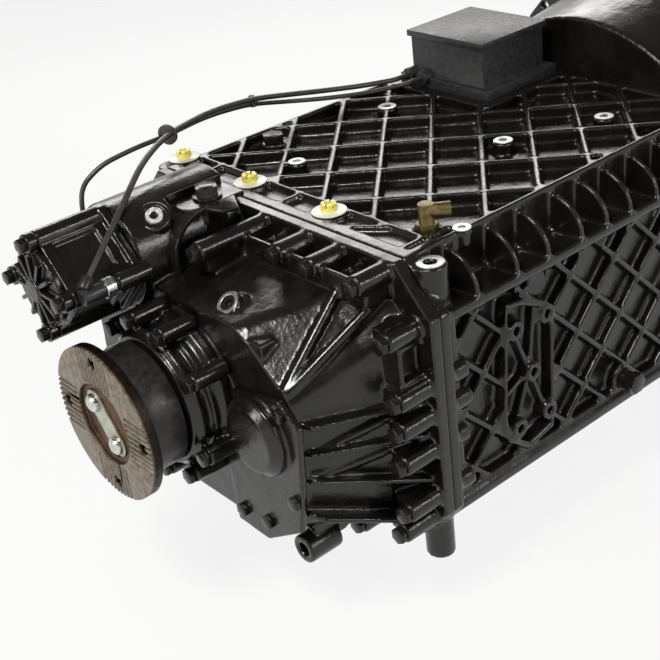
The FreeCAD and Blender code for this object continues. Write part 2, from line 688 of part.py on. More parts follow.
def range_bolts():
    bolts = [bolt_at("range_bolt_%d" % i, d.range_rear - 12, d.range_y + dy, d.range_z + dz,
                     d.small_flats, d.bolt_head, 4.8, d.range_front - d.range_rear + 12)
             for i, (dy, dz) in enumerate(around(4, d.range_bolt_ring, 0))]
    return bolts


# Casings

def outline(inset=0):
    """Half of the outline that the castings share, from the top down to the bottom, as (y, z)."""
    return [(d.rail_half - inset, d.top_z - inset), (d.side_half - inset, d.shelf_z - inset * 0.4),
            (d.side_half - inset, d.waist_z), (d.bottom_half - inset * 0.6, d.bottom_z + inset)]


def mirrored(half):
    return list(half) + [(-y, z) for y, z in reversed(half)]


def rounded_wire(points, x, radius):
    """A closed outline at x with every corner rounded by an arc."""
    corners = [Vector(size(x).value, size(y).value, size(z).value) for y, z in points]
    edges, count = [], len(corners)
    joints = []
    for index, corner in enumerate(corners):
        back = corners[index - 1] - corner
        ahead = corners[(index + 1) % count] - corner
        half = back.getAngle(ahead) / 2
        reach = min(radius / math.tan(half), back.Length * 0.46, ahead.Length * 0.46)
        back.normalize()
        ahead.normalize()
        bulge = reach * (1 / math.cos(half) - math.tan(half))
        inward = back + ahead
        inward.normalize()
        joints.append((corner + back * reach, corner + inward * bulge, corner + ahead * reach))
    for index, (start, middle, end) in enumerate(joints):
        edges.append(Part.Arc(start, middle, end).toShape())
        edges.append(Part.LineSegment(end, joints[(index + 1) % count][0]).toShape())
    return Part.Wire(edges)


def rounded_loft(name, sections, radius):
    """A ruled solid through rounded outlines, each given as (x, points)."""
    wires = [rounded_wire(points, x, radius) for x, points in sections]
    return made(name, Part.makeLoft(wires, True, True))


def plate(name, corners, thick):
    """A flat rib with the given corners, half of its thickness on each side of them."""
    points = [Vector(*[size(number).value for number in corner]) for corner in corners]
    face = Part.Face(Part.Wire(Part.makePolygon(points + points[:1])))
    normal = (points[1] - points[0]).cross(points[-1] - points[0])
    normal.normalize()
    width = size(thick).value
    face.translate(normal * (-width / 2))
    return made(name, face.extrude(normal * width))


def lattice(step_a, step_b, angle, width, count):
    """Diamond cells between two families of ribs, as lists of four corners about the origin."""
    a = Vector(math.cos(math.radians(angle)), -math.sin(math.radians(angle)), 0)
    b = Vector(math.sin(math.radians(angle)), math.cos(math.radians(angle)), 0)
    cells = []
    for i in range(-count, count):
        for j in range(-count, count):
            low_a, high_a = i * step_a + width / 2, (i + 1) * step_a - width / 2
            low_b, high_b = j * step_b + width / 2, (j + 1) * step_b - width / 2
            cells.append([a * low_a + b * low_b, a * high_a + b * low_b,
                          a * high_a + b * high_b, a * low_a + b * high_b])
    return cells


def pocket_compound(cells, limits, put, depth):
    """The parts of the cells that lie within a face, as pocket prisms."""
    prisms = []
    for cell in cells:
        kept = flat_face(cell, put).common(limits)
        prisms += [piece.extrude(depth) for piece in kept.Faces if piece.Area > SMALLEST_POCKET]
    return Part.makeCompound(prisms)


SMALLEST_POCKET = 120

# Corners of the side pads' open frame, from the pad's centre, as (x, z)
PAD_FRAME = [(-39, 101), (-16, 97), (27, 78), (37, 49), (32, -89), (-10, -98), (-43, -74), (-49, -47)]


def flat_face(points, put):
    """A face from flat points, where put turns a flat point into a place."""
    corners = [put(point) for point in points]
    return Part.Face(Part.Wire(Part.makePolygon(corners + corners[:1])))


def top_pockets():
    centre = Vector(327, -178.5, 0)
    cells = lattice(d.top_step_a.value, d.top_step_b.value, d.top_angle.value, d.rib_width.value, 11)
    top, depth = d.top_z.value, d.top_rib_height.value
    margin = d.rib_width.value
    x_start, x_end = d.mating_x.value + d.channel_end.value + 6, d.front_x.value - 12
    half = d.rail_half.value - margin
    shelf_x, shelf_y = d.actuator_x.value - 12, d.actuator_y.value - 12
    region = [Vector(x_start, -half, 0), Vector(x_end, -half, 0), Vector(x_end, shelf_y, 0),
              Vector(shelf_x, shelf_y, 0), Vector(shelf_x, half, 0), Vector(x_start, half, 0)]

    def put(point):
        return Vector(point.x + centre.x, point.y + centre.y, top + 1)

    limits = flat_face([p - centre for p in region], put)
    return made("top_pockets", pocket_compound(cells, limits, put, Vector(0, 0, -depth - 1)))


def pad_frame(side, y, shrink=0):
    """The outline of a side pad's frame at a distance y from the middle, shrunk towards its centre."""
    x, z = d.pad_x.value, d.pad_z.value
    places = []
    for across, up in PAD_FRAME:
        scale = 1 - shrink / math.hypot(across, up)
        places.append(Vector(x + across * scale, side * y, z + up * scale))
    return Part.Face(Part.Wire(Part.makePolygon(places + places[:1])))


def side_pockets(side):
    """The lattice's pockets, which leave out the pad's frame, and the pocket inside that frame."""
    centre = Vector(484, -17, 0)
    cells = lattice(d.side_step_a.value, d.side_step_b.value, d.side_angle.value, d.rib_width.value, 11)
    wall = d.wall_half.value + 1
    x_start, x_end = d.mating_x.value + d.pocket_start.value, d.front_x.value - 20
    low, high = d.waist_z.value + 6, d.shelf_z.value - 18
    region = [Vector(x_start, low, 0), Vector(x_end, low, 0), Vector(x_end, high, 0),
              Vector(x_start, high, 0)]
    depth = Vector(0, -side * (d.side_rib_height.value + 1), 0)

    def put(point):
        return Vector(point.x + centre.x, side * wall, point.y + centre.y)

    limits = flat_face([p - centre for p in region], put).cut(pad_frame(side, wall))
    inside = pad_frame(side, wall, d.rib_width.value + 2).extrude(depth)
    pockets = pocket_compound(cells, limits, put, depth)
    return made("side_pockets_%d" % (side + 1), Part.makeCompound([pockets, inside]))


# Where the gussets stand along the rails
GUSSET_X = (314, 375, 424, 479, 522, 564, 612, 660, 708, 752)


def gussets(side):
    """Quarter-round plates that stand on the shelf between the two rails."""
    reach = d.side_half - d.rail_half - 3
    return [rod("gusset_%d_%d" % (side + 1, index), reach, 6, x, side * d.rail_half, d.shelf_z - 1)
            for index, x in enumerate(GUSSET_X)]


def inner_outline(floor):
    """The outline of the space inside the main housing, down to a floor."""
    side = d.wall_half - d.side_rib_height - d.side_wall
    top = d.top_z - d.top_rib_height - d.top_wall
    return mirrored([(d.rail_half - 14, top), (d.rail_half - 14, d.shelf_z - 16), (side, d.shelf_z - 22),
                     (side, d.waist_z + 2), (d.bottom_half - 16, floor)])


def main_casting():
    """The outside of the main housing before it is hollowed out."""
    length = d.front_x - d.mating_x
    side, rail, lip = d.wall_half, d.rail_half, d.side_half - 1
    section = mirrored([
        (rail, d.top_z), (rail, d.shelf_z), (lip, d.shelf_z), (lip, d.shelf_z - 11),
        (side, d.shelf_z - 14), (side, d.waist_z + 2), (side + 5, d.waist_z - 3),
        (side + 5, d.waist_z - 12), (d.bottom_half, d.bottom_z)])
    parts = [padded("main_body", section, d.mating_x, length),
             padded("main_rear_flange", mirrored(outline()), d.mating_x, d.flange_wall),
             padded("main_front_flange", mirrored(outline()), d.front_x - d.flange_wall, d.flange_wall)]
    for s in (1, -1):
        parts += gussets(s)
        parts.append(rod("corner_post_%d" % (s + 1), d.post_radius, d.top_z - 7 - d.shelf_z + 4,
                         d.mating_x + 20, s * CORNER_POST_Y, d.shelf_z - 4, axis="z"))
        parts.append(rod("foot_post_%d" % (s + 1), d.foot_radius, d.waist_z - d.foot_z,
                         d.mating_x + 18, s * d.foot_y, d.foot_z, axis="z"))
    parts.append(rod("left_cap_boss", 20, d.top_z - d.shelf_z + 4, d.cap_x, CAP_PLACES[0],
                     d.shelf_z - 4, axis="z"))
    for index, (y, z) in enumerate(flange_bolt_places()):
        if abs(size(y).value) > d.bottom_half.value:
            parts.append(rod("side_lump_%d" % index, d.lug_radius, 34 + 4 * (index % 3), d.mating_x, y, z))
    return fuse("main_casting", parts)


def seats_and_ways():
    """Bearing seats in the end walls, and the ways of the shift rails and the idlers' pins."""
    seats = []
    for label, s in (("main", 0), ("left", 1), ("right", -1)):
        radius = d.roller_bearing_od / 2 + (8 if s == 0 else 0)
        y, z = s * d.counter_y, (d.counter_z if s else size(0))
        seats.append(rod("rear_seat_" + label, radius, 40, d.mating_x + 4, y, z))
        seats.append(rod("front_seat_" + label, radius, 40, d.front_x - d.end_wall - 10, y, z))
    for i, y in enumerate((-d.rail_y, size(0), d.rail_y)):
        seats.append(rod("rail_hole_%d" % i, d.rail_radius + d.hub_fit, d.front_x - d.mating_x - 6,
                         d.mating_x + 7, y, d.rail_z))
    for label, s in SIDES.items():
        y, z = idler_centre(s)
        seats.append(rod("idler_seat_" + label, d.rail_radius + 2, 30, d.mating_x + d.end_wall - 10, y, z))
    return seats


def main_housing():
    length = d.front_x - d.mating_x
    cavity = padded("main_cavity", inner_outline(d.bottom_z + 12), d.mating_x + 8 + d.end_wall,
                    length - 2 * d.end_wall - 8)
    recess = padded("main_rear_recess", inner_outline(d.bottom_z + 24), d.mating_x - 1, 9)
    hollow = cut("main_hollow", main_casting(), fuse("main_tools", [cavity, recess] + seats_and_ways()))
    pockets = group("main_pockets", [top_pockets(), side_pockets(1), side_pockets(-1), top_channel()])
    ribbed = cut("main_ribbed", hollow, pockets)
    bossed = fuse("main_bossed", [ribbed] + casing_bosses())
    node(cut("main_housing", bossed, group("casing_holes", casing_holes())), "main_housing")


def top_channel():
    """The channel between the rail over the joint and the ribbed top."""
    half = d.rail_half - 12
    return block("top_channel", (d.channel_end - d.channel_start, half * 2, d.channel_depth + 1),
                 (d.mating_x + d.channel_start, -half, d.top_z - d.channel_depth))


TOP_BOSSES = [(364, 85, 12), (559, 133, 14), (552, -78, 13), (679, -128, 13), (345, -209, 11)]
CAP_PLACES = (d.side_half - 42, size(82), size(-61))
CORNER_POST_Y = d.side_half - 31


def casing_bosses():
    """Bosses on the ribbed top, ribs across its channel, the lock ring and the side pads."""
    low = d.top_z - d.top_rib_height - 2
    height = d.top_z - low
    bosses = [rod("top_boss_%d" % i, radius, height, x, y, low, axis="z")
              for i, (x, y, radius) in enumerate(TOP_BOSSES)]
    bosses.append(rod("plug_boss", 15, height, d.top_plug_x, d.top_plug_y, low, axis="z"))
    bosses.append(rod("elbow_boss", 20, height - 4, d.elbow_x, d.elbow_y, low, axis="z"))
    bosses += [rod("cap_boss_%d" % i, d.cap_radius + 2, height, d.cap_x, y, low, axis="z")
               for i, y in enumerate(CAP_PLACES[1:])]
    for index, (start, end) in enumerate(CHANNEL_RIBS):
        edge, far = d.mating_x + d.channel_start, d.mating_x + d.channel_end + 8
        corners = [(edge, start, low), (far, end, low), (far, end, d.top_z - 1), (edge, start, d.top_z - 1)]
        bosses.append(plate("channel_rib_%d" % index, corners, d.rib_width))
    ring_x = d.mating_x + 8
    bosses.append(ring("lock_ring", d.range_collar, d.range_collar - 7, d.lock_ring_reach,
                       ring_x - d.lock_ring_reach + 1))
    for side in (1, -1):
        bosses += side_pad(side)
        bosses += side_plug_boss(side)
    return bosses


def side_pad(side):
    """An open frame that stands proud of the side's ribs, with five bosses and ribs between them."""
    floor, face = d.wall_half - d.side_rib_height - 1, d.wall_half + d.pad_proud
    name = "pad_%d_" % (side + 1)
    frame = pad_frame(side, floor.value).cut(pad_frame(side, floor.value, d.rib_width.value))
    height = (face - floor).value - 1
    parts = [made(name + "frame", frame.extrude(Vector(0, side * height, 0)))]
    start = floor if side == 1 else -face
    for i, (x, z) in enumerate(pad_places()):
        parts.append(rod(name + "boss_%d" % i, d.pad_boss, face - floor, x, start, z, axis="y"))
    for i, (begin, end) in enumerate(PAD_RIBS):
        (x1, z1), (x2, z2) = [(d.pad_x + x, d.pad_z + z) for x, z in (begin, end)]
        corners = [(x1, side * floor, z1), (x2, side * floor, z2),
                   (x2, side * (face - 6), z2), (x1, side * (face - 6), z1)]
        parts.append(plate(name + "rib_%d" % i, corners, d.rib_width - 1))
    return parts


def side_plug_boss(side):
    """The round boss of the plug near the bottom of each side."""
    floor = d.wall_half - d.side_rib_height - 1
    start = floor if side == 1 else -d.wall_half
    return [rod("side_plug_boss_%d" % (side + 1), 19, d.wall_half - floor, d.side_plug_x, start,
                d.side_plug_z, axis="y")]


# Ribs inside the pad's frame, from its centre, each from one (x, z) to another
PAD_RIBS = [((-25, 63), (0, 0)), ((0, 0), (25, -63)), ((12, 84), (0, 0)), ((0, 0), (-25, -63)),
            ((-48, -20), (0, 0))]

# Ribs across the channel on top, as the y of each end
CHANNEL_RIBS = [(160, 160), (82, 82), (10, 10), (-61, -61), (-100, -150), (-190, -190)]


def pad_places():
    corners = [(d.pad_x + i * d.pad_half_x, d.pad_z + j * d.pad_half_z) for i in (-1, 1) for j in (-1, 1)]
    return corners + [(d.pad_x, d.pad_z)]


def casing_holes():
    """Threaded holes of the pads, the joint's bolts, the caps, the plugs and the elbow."""
    holes = []
    for side in (1, -1):
        start = (d.wall_half + d.pad_proud - 18) if side == 1 else -(d.wall_half + d.pad_proud + 1)
        for i, (x, z) in enumerate(pad_places()):
            holes.append(rod("pad_hole_%d_%d" % (side + 1, i), d.pad_hole, 19, x, start, z, axis="y"))
    holes += [rod("joint_hole_%d" % i, d.joint_bolt_radius + d.hub_fit, 24, d.mating_x - 1, y, z)
              for i, (y, z) in enumerate(flange_bolt_places())]
    for i, y in enumerate(CAP_PLACES):
        holes.append(rod("cap_hole_%d" % i, d.cap_stem, 16, d.cap_x, y, d.top_z - 14, axis="z"))
    holes.append(rod("elbow_seat", 14.5, 12, d.elbow_x, d.elbow_y, d.top_z - 4, axis="z"))
    holes.append(rod("elbow_hole", 7, 30, d.elbow_x, d.elbow_y, d.top_z - 15, axis="z"))
    holes.append(rod("top_plug_hole", 8, 30, d.top_plug_x, d.top_plug_y, d.top_z - 16, axis="z"))
    holes.append(rod("drain_hole", 9, 11, d.bottom_plug_x, 0, d.bottom_z - 1, axis="z"))
    holes.append(rod("side_plug_hole", 9, 14, d.side_plug_x, -d.wall_half - 1, d.side_plug_z, axis="y"))
    holes.append(rod("corner_hole", 7, 30, d.mating_x + 20, -CORNER_POST_Y, d.top_z - 26, axis="z"))
    return holes


def rear_sections(inset=0):
    """Half outlines of the rear housing's shell at three places along X."""
    top_edge, side_edge = d.rear_top - 5, d.rear_half - 10
    sections = [
        (d.rear_x, [(d.rear_half - 90, top_edge), (side_edge, top_edge - 64), (side_edge + 4, d.belt_z),
                    (side_edge - 12, d.rear_bottom + 34), (d.rear_half - 88, d.rear_bottom + 2)]),
        (d.rear_middle, [(d.rail_half - 60, d.top_z - 37), (d.side_half - 50, d.shelf_z - 34),
                         (d.side_half - 38, d.belt_z), (d.side_half - 52, d.waist_z + 8),
                         (d.bottom_half - 78, d.bottom_z + 14)]),
        (d.mating_x - d.flange_wall, [(d.rail_half - 26, d.top_z - 20), (d.side_half - 30, d.shelf_z - 18),
                                      (d.side_half - 26, d.belt_z), (d.side_half - 32, d.waist_z + 12),
                                      (d.bottom_half - 34, d.bottom_z + 16)])]
    return [(x, [(y - inset, z - inset if size(z).value > 0 else z + inset) for y, z in half])
            for x, half in sections]


def shell_wires(sections):
    return [(x, mirrored(half)) for x, half in sections]


# Crest lines of the ribs along each side of the rear housing: height at the rear, height at the joint
SIDE_RIBS = [(18, 4), (-15, -36), (-48, -94), (-95, -148)]
# Ribs that fan out over each shoulder, from one (x, y, z) to another
FAN_RIBS = [((118, 172, 50), (232, 158, 142)), ((118, 174, 48), (232, 200, 120))]
# Slanting webs low between the side ribs
SIDE_WEBS = [((128, 192, -20), (205, 224, -2)), ((128, 190, -52), (205, 224, -40))]


def rear_ribs(side):
    """Ribs on the outside of the rear housing's shell."""
    name = "rear_rib_%d_" % (side + 1)
    ribs = []
    rear, joint = d.rear_half, d.side_half - 15
    end = d.mating_x - d.flange_wall + 1
    deep = d.rib_proud * 3
    for index, (low, high) in enumerate(SIDE_RIBS):
        corner = (d.rear_x + 9, rear + d.rib_proud * 0.7, low)
        start = d.rear_x + 2
        corners = [(start, rear - d.rib_proud, low), corner, (end, joint, high),
                   (end, joint - deep, high), (start, rear - deep, low)]
        ribs.append(plate(name + str(index), flattened(corners, side), d.rib_thick))
    for index, (start, stop) in enumerate(FAN_RIBS + SIDE_WEBS):
        a, b = [Vector(x, side * y, z) for x, y, z in (start, stop)]
        thick = d.rib_thick if index < len(FAN_RIBS) else d.rib_thick * 0.75
        ribs.append(rod(name + "fan_%d" % index, thick, (b - a).Length, *a, axis=tuple(b - a)))
    return ribs


def flattened(corners, side):
    """The corners with each height moved onto the plane through the first, third and fourth corner."""
    (x1, _, z1), (x2, _, z2) = corners[0], corners[2]
    slope = (z2 - z1) / (size(x2).value - size(x1).value)
    return [(x, side * y, z1 + slope * (size(x).value - size(x1).value)) for x, y, z in corners]


def rear_lugs():
    """A round lug behind each bolt of the joint, with a web that ties it to the shell."""
    front = d.mating_x - d.flange_wall
    lugs = []
    for index, (y, z) in enumerate(flange_bolt_places()):
        length = lug_length(index)
        lugs.append(rod("rear_lug_%d" % index, d.lug_radius, length + 2, front - length, y, z))
        beside = abs(size(y).value) > d.bottom_half.value
        inward = size(y).value > 0 if beside else size(z).value > 0
        reach, half = 26, d.lug_radius - 4
        start = front - length + 8
        if beside:
            corner = (start, y - reach if inward else y, z - half)
            lugs.append(block("lug_web_%d" % index, (length - 7, reach, half * 2), corner))
        else:
            corner = (start, y - half, z - reach if inward else z)
            lugs.append(block("lug_web_%d" % index, (length - 7, half * 2, reach), corner))
    return lugs


def ledges():
    """Raised ledges between the lugs along the joint, and the pockets in them."""
    front = d.mating_x - d.flange_wall
    start, rim = front - d.lug_length + 8, d.frame_rim
    tops = [d.ledge_z - 28, d.ledge_z - 2 * d.frame_rim]
    solids = [block("top_ledge", (d.lug_length - 7, -TOP_BOLTS[0], d.ledge_z - tops[0]),
                    (start, TOP_BOLTS[0], tops[0])),
              block("side_ledge", (d.lug_length - 11, 30, SIDE_FRAME[1] - SIDE_FRAME[0]),
                    (start + 4, -d.side_half + 16, SIDE_FRAME[0]))]
    pockets = []
    for index, (low, high) in enumerate(zip(TOP_BOLTS, TOP_BOLTS[1:4])):
        edge = d.lug_radius + 1
        pockets.append(block("ledge_pocket_%d" % index,
                             (d.lug_length - 7 - rim, high - low - 2 * edge, d.ledge_depth + 1),
                             (start + rim, low + edge, d.ledge_z - d.ledge_depth)))
    height = SIDE_FRAME[1] - SIDE_FRAME[0] - 2 * rim
    pockets.append(block("side_pocket", (d.lug_length - 11 - rim, 12, height),
                         (start + 4 + rim, -d.side_half + 15, SIDE_FRAME[0] + rim)))
    return solids, pockets


def rear_fittings():
    """The port with its plug, the closed tube, the drain bosses and the sensor's boss."""
    low = along_port(-26)
    parts = [rod("port_boss", d.port_radius, 26, *low, axis=PORT_AXIS),
             rod("port_collar", d.port_radius + 5, 18, *low, axis=PORT_AXIS),
             rod("closed_tube", 13, d.rear_middle - d.rear_x - 2, d.rear_x + 8, d.tube_y, d.tube_z),
             block("tube_step", (20, 30, 26), (d.rear_x + 2, d.tube_y - 36, d.tube_z - 24)),
             rod("speed_sensor_boss", 15, 20, *along_sensor(-12), axis=SENSOR_AXIS)]
    for side in (1, -1):
        parts.append(rod("drain_boss_%d" % (side + 1), d.drain_radius, 44, d.rear_x + 6, side * d.drain_y,
                         d.drain_z))
        parts.append(block("drain_web_%d" % (side + 1), (90, 16, 26),
                           (d.rear_x + 20, side * d.drain_y - 8, d.drain_z)))
    return parts


def rear_housing():
    """The bell-shaped rear casting that holds the range group."""
    front = d.mating_x - d.flange_wall
    sections = rear_sections()
    shell = rounded_loft("rear_shell", shell_wires(sections), d.shell_radius.value)
    flange = padded("rear_flange", mirrored(outline()), front, d.flange_wall)
    neck = rod("rear_neck", d.neck_radius, d.bearing_seat_depth + 6, d.cover_front, 0, 0)
    tower_radius = d.range_bolt_ring + 9
    tower = rod("range_tower", tower_radius, front - d.range_front + 4, d.range_front, d.range_y, d.range_z)
    stand = rod("bracket_stand", 16, 60, d.bracket_x, d.bracket_y, d.bracket_z - 60, axis="z")
    raised, ledge_pockets = ledges()
    parts = [shell, flange, neck, tower, stand] + rear_ribs(1) + rear_ribs(-1) + rear_lugs() + raised
    solid = fuse("rear_solid", parts + rear_fittings())

    inner = rear_sections(d.rear_wall)
    inner[0] = (inner[0][0] + d.rear_wall, inner[0][1])
    inner[2] = (inner[2][0] + 1, inner[2][1])
    hollow = rounded_loft("rear_hollow", shell_wires(inner), (d.shell_radius - d.rear_wall).value)
    window = padded("rear_window", mirrored(inner[2][1]), front - 1, d.flange_wall + 2)
    seat = rod("rear_bearing_seat", d.bearing_od / 2, 80, d.cover_front - 1, 0, 0)
    sleeve_x = d.carrier_rear + d.carrier_plate + d.planet_width + 4 - d.shift_travel
    clear = rod("rear_ring_room", d.range_collar + 3, front - d.carrier_rear + 4, d.carrier_rear - 2, 0, 0)
    wide = rod("rear_sleeve_room", d.range_fork_radius + 1.5, front - sleeve_x + 4, sleeve_x, 0, 0)
    tunnel = rod("range_rod_way", d.range_rod_radius + d.running_gap, 60, d.range_front - 1,
                 d.range_y, d.range_z)
    room = rod("range_fork_room", d.range_rod_radius + 14, front - 160, 160, d.range_y, d.range_z)
    reach, lean = range_rod_place()
    arm_room = spoke("range_arm_room", front - sleeve_x + 4, d.range_arm + 4, d.range_fork_radius - 4,
                     reach, lean, sleeve_x)
    pto = rod("pto_window", d.pto_dome_radius - 12, 30, d.rear_x - 12, -d.counter_y, d.counter_z)
    tools = fuse("rear_tools", [hollow, window, seat, clear, wide, tunnel, room, arm_room, pto])
    opened = cut("rear_opened", solid, tools)
    holes = group("rear_holes", rear_holes() + ledge_pockets)
    node(cut("rear_housing", opened, holes), "rear_housing")


def rear_holes():
    """Bolt holes, rooms for the bolts' heads and the seats of what is fixed to the rear housing."""
    front = d.mating_x - d.flange_wall
    holes = []
    for i, (y, z) in enumerate(flange_bolt_places()):
        face = front - lug_length(i)
        holes.append(rod("rear_bolt_hole_%d" % i, 5.4, lug_length(i) + 20, face - 1, y, z))
        holes.append(rod("rear_spotface_%d" % i, 10.4, 22, face - 22, y, z))
    holes += [rod("rear_lug_room_%d" % i, d.lug_radius, d.cover_front - d.range_front + 1,
                  d.range_front - 1, y, z) for i, (y, z) in enumerate(cover_bolt_places())]
    holes.append(block("bracket_seat", (90, 46, 30), (d.bracket_x - 42, d.bracket_y - 22, d.bracket_z)))
    holes.append(rod("bracket_bolt_hole", 8.4, 40, d.bracket_x, d.bracket_y, d.bracket_z - 30, axis="z"))
    holes.append(rod("speed_sensor_hole", 9.3, 40, *along_sensor(-30), axis=SENSOR_AXIS))
    holes.append(rod("speed_sensor_room", 15.4, 30, *along_sensor(8), axis=SENSOR_AXIS))
    holes.append(rod("port_hole", d.port_plug, 14, *along_port(-10), axis=PORT_AXIS))
    holes += [rod("drain_boss_hole_%d" % (side + 1), 8, 24, d.rear_x + 5, side * d.drain_y, d.drain_z)
              for side in (1, -1)]
    return holes


# Bolts of the joint between rear and main housing: y of those on top, z of those on the sides
TOP_BOLTS = (-198, -128, -74, 0, 186)
SIDE_BOLTS = (92, 26, -9, -51, -111)
BOTTOM_BOLTS = (-165, -85, 0, 85, 165)
LONG_LUG = 0
SIDE_FRAME = (36, 82)
PORT_AXIS = (-0.6, 0, 0.8)


def flange_bolt_places():
    """Bolts of the joint between rear and main housing, inside the shared outline."""
    places = []
    for s in (1, -1):
        places += [(s * (d.side_half - (24 if z > d.shelf_z.value - 20 else 14)), z) for z in SIDE_BOLTS]
        places.append((s * (d.side_half - 24), d.waist_z - 8))
    places += [(y, d.top_z - 13) for y in TOP_BOLTS]
    places += [(y, d.bottom_z + 12) for y in BOTTOM_BOLTS]
    return places


def lug_length(index):
    """The lug on the middle of the top runs far back; the others are alike."""
    y, z = flange_bolt_places()[index]
    middle = size(y).value == LONG_LUG and size(z).value > 0
    return d.long_lug if middle else d.lug_length


def along_port(distance):
    """A point on the axis of the port on the rear housing, measured from its face."""
    return [start + step * distance for start, step in zip((d.port_x, d.port_y, d.port_z), PORT_AXIS)]


def output_cover():
    """The output bearing's cover, with a lug for each bolt."""
    x = d.cover_rear
    body = turned("cover_body", [
        (x, d.hub_radius + 4), (x + d.cover_lip, d.hub_radius + 4), (x + d.cover_lip, d.seal_bore),
        (d.cover_front + 2, d.seal_bore), (d.cover_front + 2, d.bearing_od / 2),
        (d.cover_front, d.bearing_od / 2), (d.cover_front, d.cover_radius + 4),
        (d.cover_front - 10, d.cover_radius + 4), (x + 33, d.cover_radius - 2),
        (x + 26, d.cover_radius - 2), (x + 24, d.cover_radius - 7), (x + 16, d.cover_radius - 7),
        (x + 14, d.cover_radius - 2), (x + 9, d.cover_radius - 2), (x + 5, d.cover_radius - 7),
        (x, d.cover_radius - 8)])
    lugs = [rod("cover_lug_%d" % i, 10.5, d.cover_front - x - 6, x + 6, y, z)
            for i, (y, z) in enumerate(cover_bolt_places())]
    solid = fuse("cover_solid", [body] + lugs)
    holes = [rod("cover_hole_%d" % i, 5.4, 60, x, y, z) for i, (y, z) in enumerate(cover_bolt_places())]
    node(cut("output_bearing_cover", solid, group("cover_holes", holes)), "output_bearing_cover")


def cover_bolts():
    x = d.cover_rear
    bearing = [bolt_at("cover_bolt_%d" % i, x + 6, y, z, d.bolt_flats, d.bolt_head, 5, 45)
               for i, (y, z) in enumerate(cover_bolt_places())]
    pto = [hexagon("pto_bolt_%d" % i, d.small_flats, 6, d.pto_plate_x - 6, y, z)
           for i, (y, z) in enumerate(pto_bolt_places())]
    node(group("cover_bolts", bearing + pto + range_bolts()), "cover_bolts")


def oil_seals():
    output = ring("output_oil_seal", d.seal_bore, d.hub_radius + d.running_gap, d.seal_width,
                  d.cover_rear + d.cover_lip)
    entry = ring("input_oil_seal", 29.8, d.journal_radius + 8.2, 8, d.front_x + 4)
    node(group("oil_seals", [output, entry]), "oil_seals")


def cover_bolt_places():
    return [(d.cover_bolt_ring * math.cos(math.radians(a)), d.cover_bolt_ring * math.sin(math.radians(a)))
            for a in (12, 45, 76, 109, 148, 206, 240, 272, 304, 338)]


def output_flange():
    """The companion flange: four sectors of crossed teeth round a stepped recess."""
    radius = d.flange_od / 2
    blank = turned("flange_blank", [
        (d.flange_recess_depth, d.shaft_bore), (d.hub_front, d.shaft_bore), (d.hub_front, d.hub_radius),
        (d.cover_rear - 6, d.hub_radius), (d.cover_rear - 6, 59), (d.flange_thick + 6, 59),
        (d.flange_thick + 6, 76), (d.flange_thick, radius), (0, radius),
        (0, d.flange_recess / 2 + 2), (4, d.flange_recess / 2 + 2), (4, d.flange_recess / 2 - 5),
        (d.flange_recess_depth, d.flange_recess / 2 - 5)])
    holes = [rod("flange_hole_%d" % i, d.flange_hole / 2, 40, -1, y, z)
             for i, (y, z) in enumerate(around(4, d.flange_bolt_circle / 2, 90))]
    grooves = []
    half = 4
    for quarter in range(4):
        for index in range(-half, half + 1):
            across = index * d.tooth_pitch
            depth, reach = d.tooth_depth.value, d.tooth_depth.value * math.tan(math.radians(35))
            start = d.flange_recess.value / 2 + 1
            middle = across.value
            corners = [Vector(-0.01, middle - reach, start), Vector(-0.01, middle + reach, start),
                       Vector(depth, middle, start)]
            face = Part.Face(Part.Wire(Part.makePolygon(corners + corners[:1])))
            wedge = face.extrude(Vector(0, 0, radius.value))
            wedge.rotate(Vector(), Vector(1, 0, 0), 90.0 * quarter)
            grooves.append(wedge)
    tools = group("flange_tools", holes + [made("flange_grooves", Part.makeCompound(grooves))])
    node(cut("output_flange", blank, tools), "output_flange")
    shield = turned("dust_shield", [
        (d.flange_thick + 6, 59), (d.cover_rear - 8, 59), (d.cover_rear - 8, 62), (d.flange_thick + 10, 62),
        (d.flange_thick + 10, d.shield_radius - 2), (d.cover_rear - 4, d.shield_radius - 2),
        (d.cover_rear - 4, d.shield_radius), (d.flange_thick + 6, d.shield_radius)])
    node(shield, "dust_shield")


def flange_locking():
    """The disc that holds the flange on its shaft, its lock plate and two bolts."""
    disc = rod("retaining_disc_blank", d.flange_recess / 2 - 6, 4, d.flange_recess_depth - 4)
    spots = lock_bolt_places()
    clear = d.lock_bolt_radius + 0.2
    holes = [rod("disc_hole_%d" % i, clear, 20, -1, y, z) for i, (y, z) in enumerate(spots)]
    node(cut("retaining_disc", disc, group("disc_holes", holes)), "retaining_disc")
    x, thick, half = d.flange_recess_depth - 4 - d.lock_thick, d.lock_thick, d.lock_half
    ends = [rod("lock_end_%d" % i, half, thick, x, y, z) for i, (y, z) in enumerate(spots)]
    bar = spoke("lock_bar", thick, 2 * half, -d.lock_bolt_offset, d.lock_bolt_offset, LOCK_LEAN, x)
    solid = fuse("lock_solid", ends + [bar])
    more = [rod("lock_hole_%d" % i, clear, 20, -8, y, z) for i, (y, z) in enumerate(spots)]
    node(cut("lock_plate", solid, group("lock_holes", more)), "lock_plate")
    bolts = []
    for i, (y, z) in enumerate(spots):
        head = turned("lock_bolt_head_%d" % i, [(0, 0), (7, 0), (7, 11), (2.5, 10), (0, 6.5)], x - 7, y, z)
        shank = rod("lock_bolt_shank_%d" % i, d.lock_bolt_radius, 34, x - 1, y, z)
        bolts.append(fuse("lock_bolt_%d" % i, [head, shank]))
    node(group("flange_bolts", bolts), "flange_bolts")


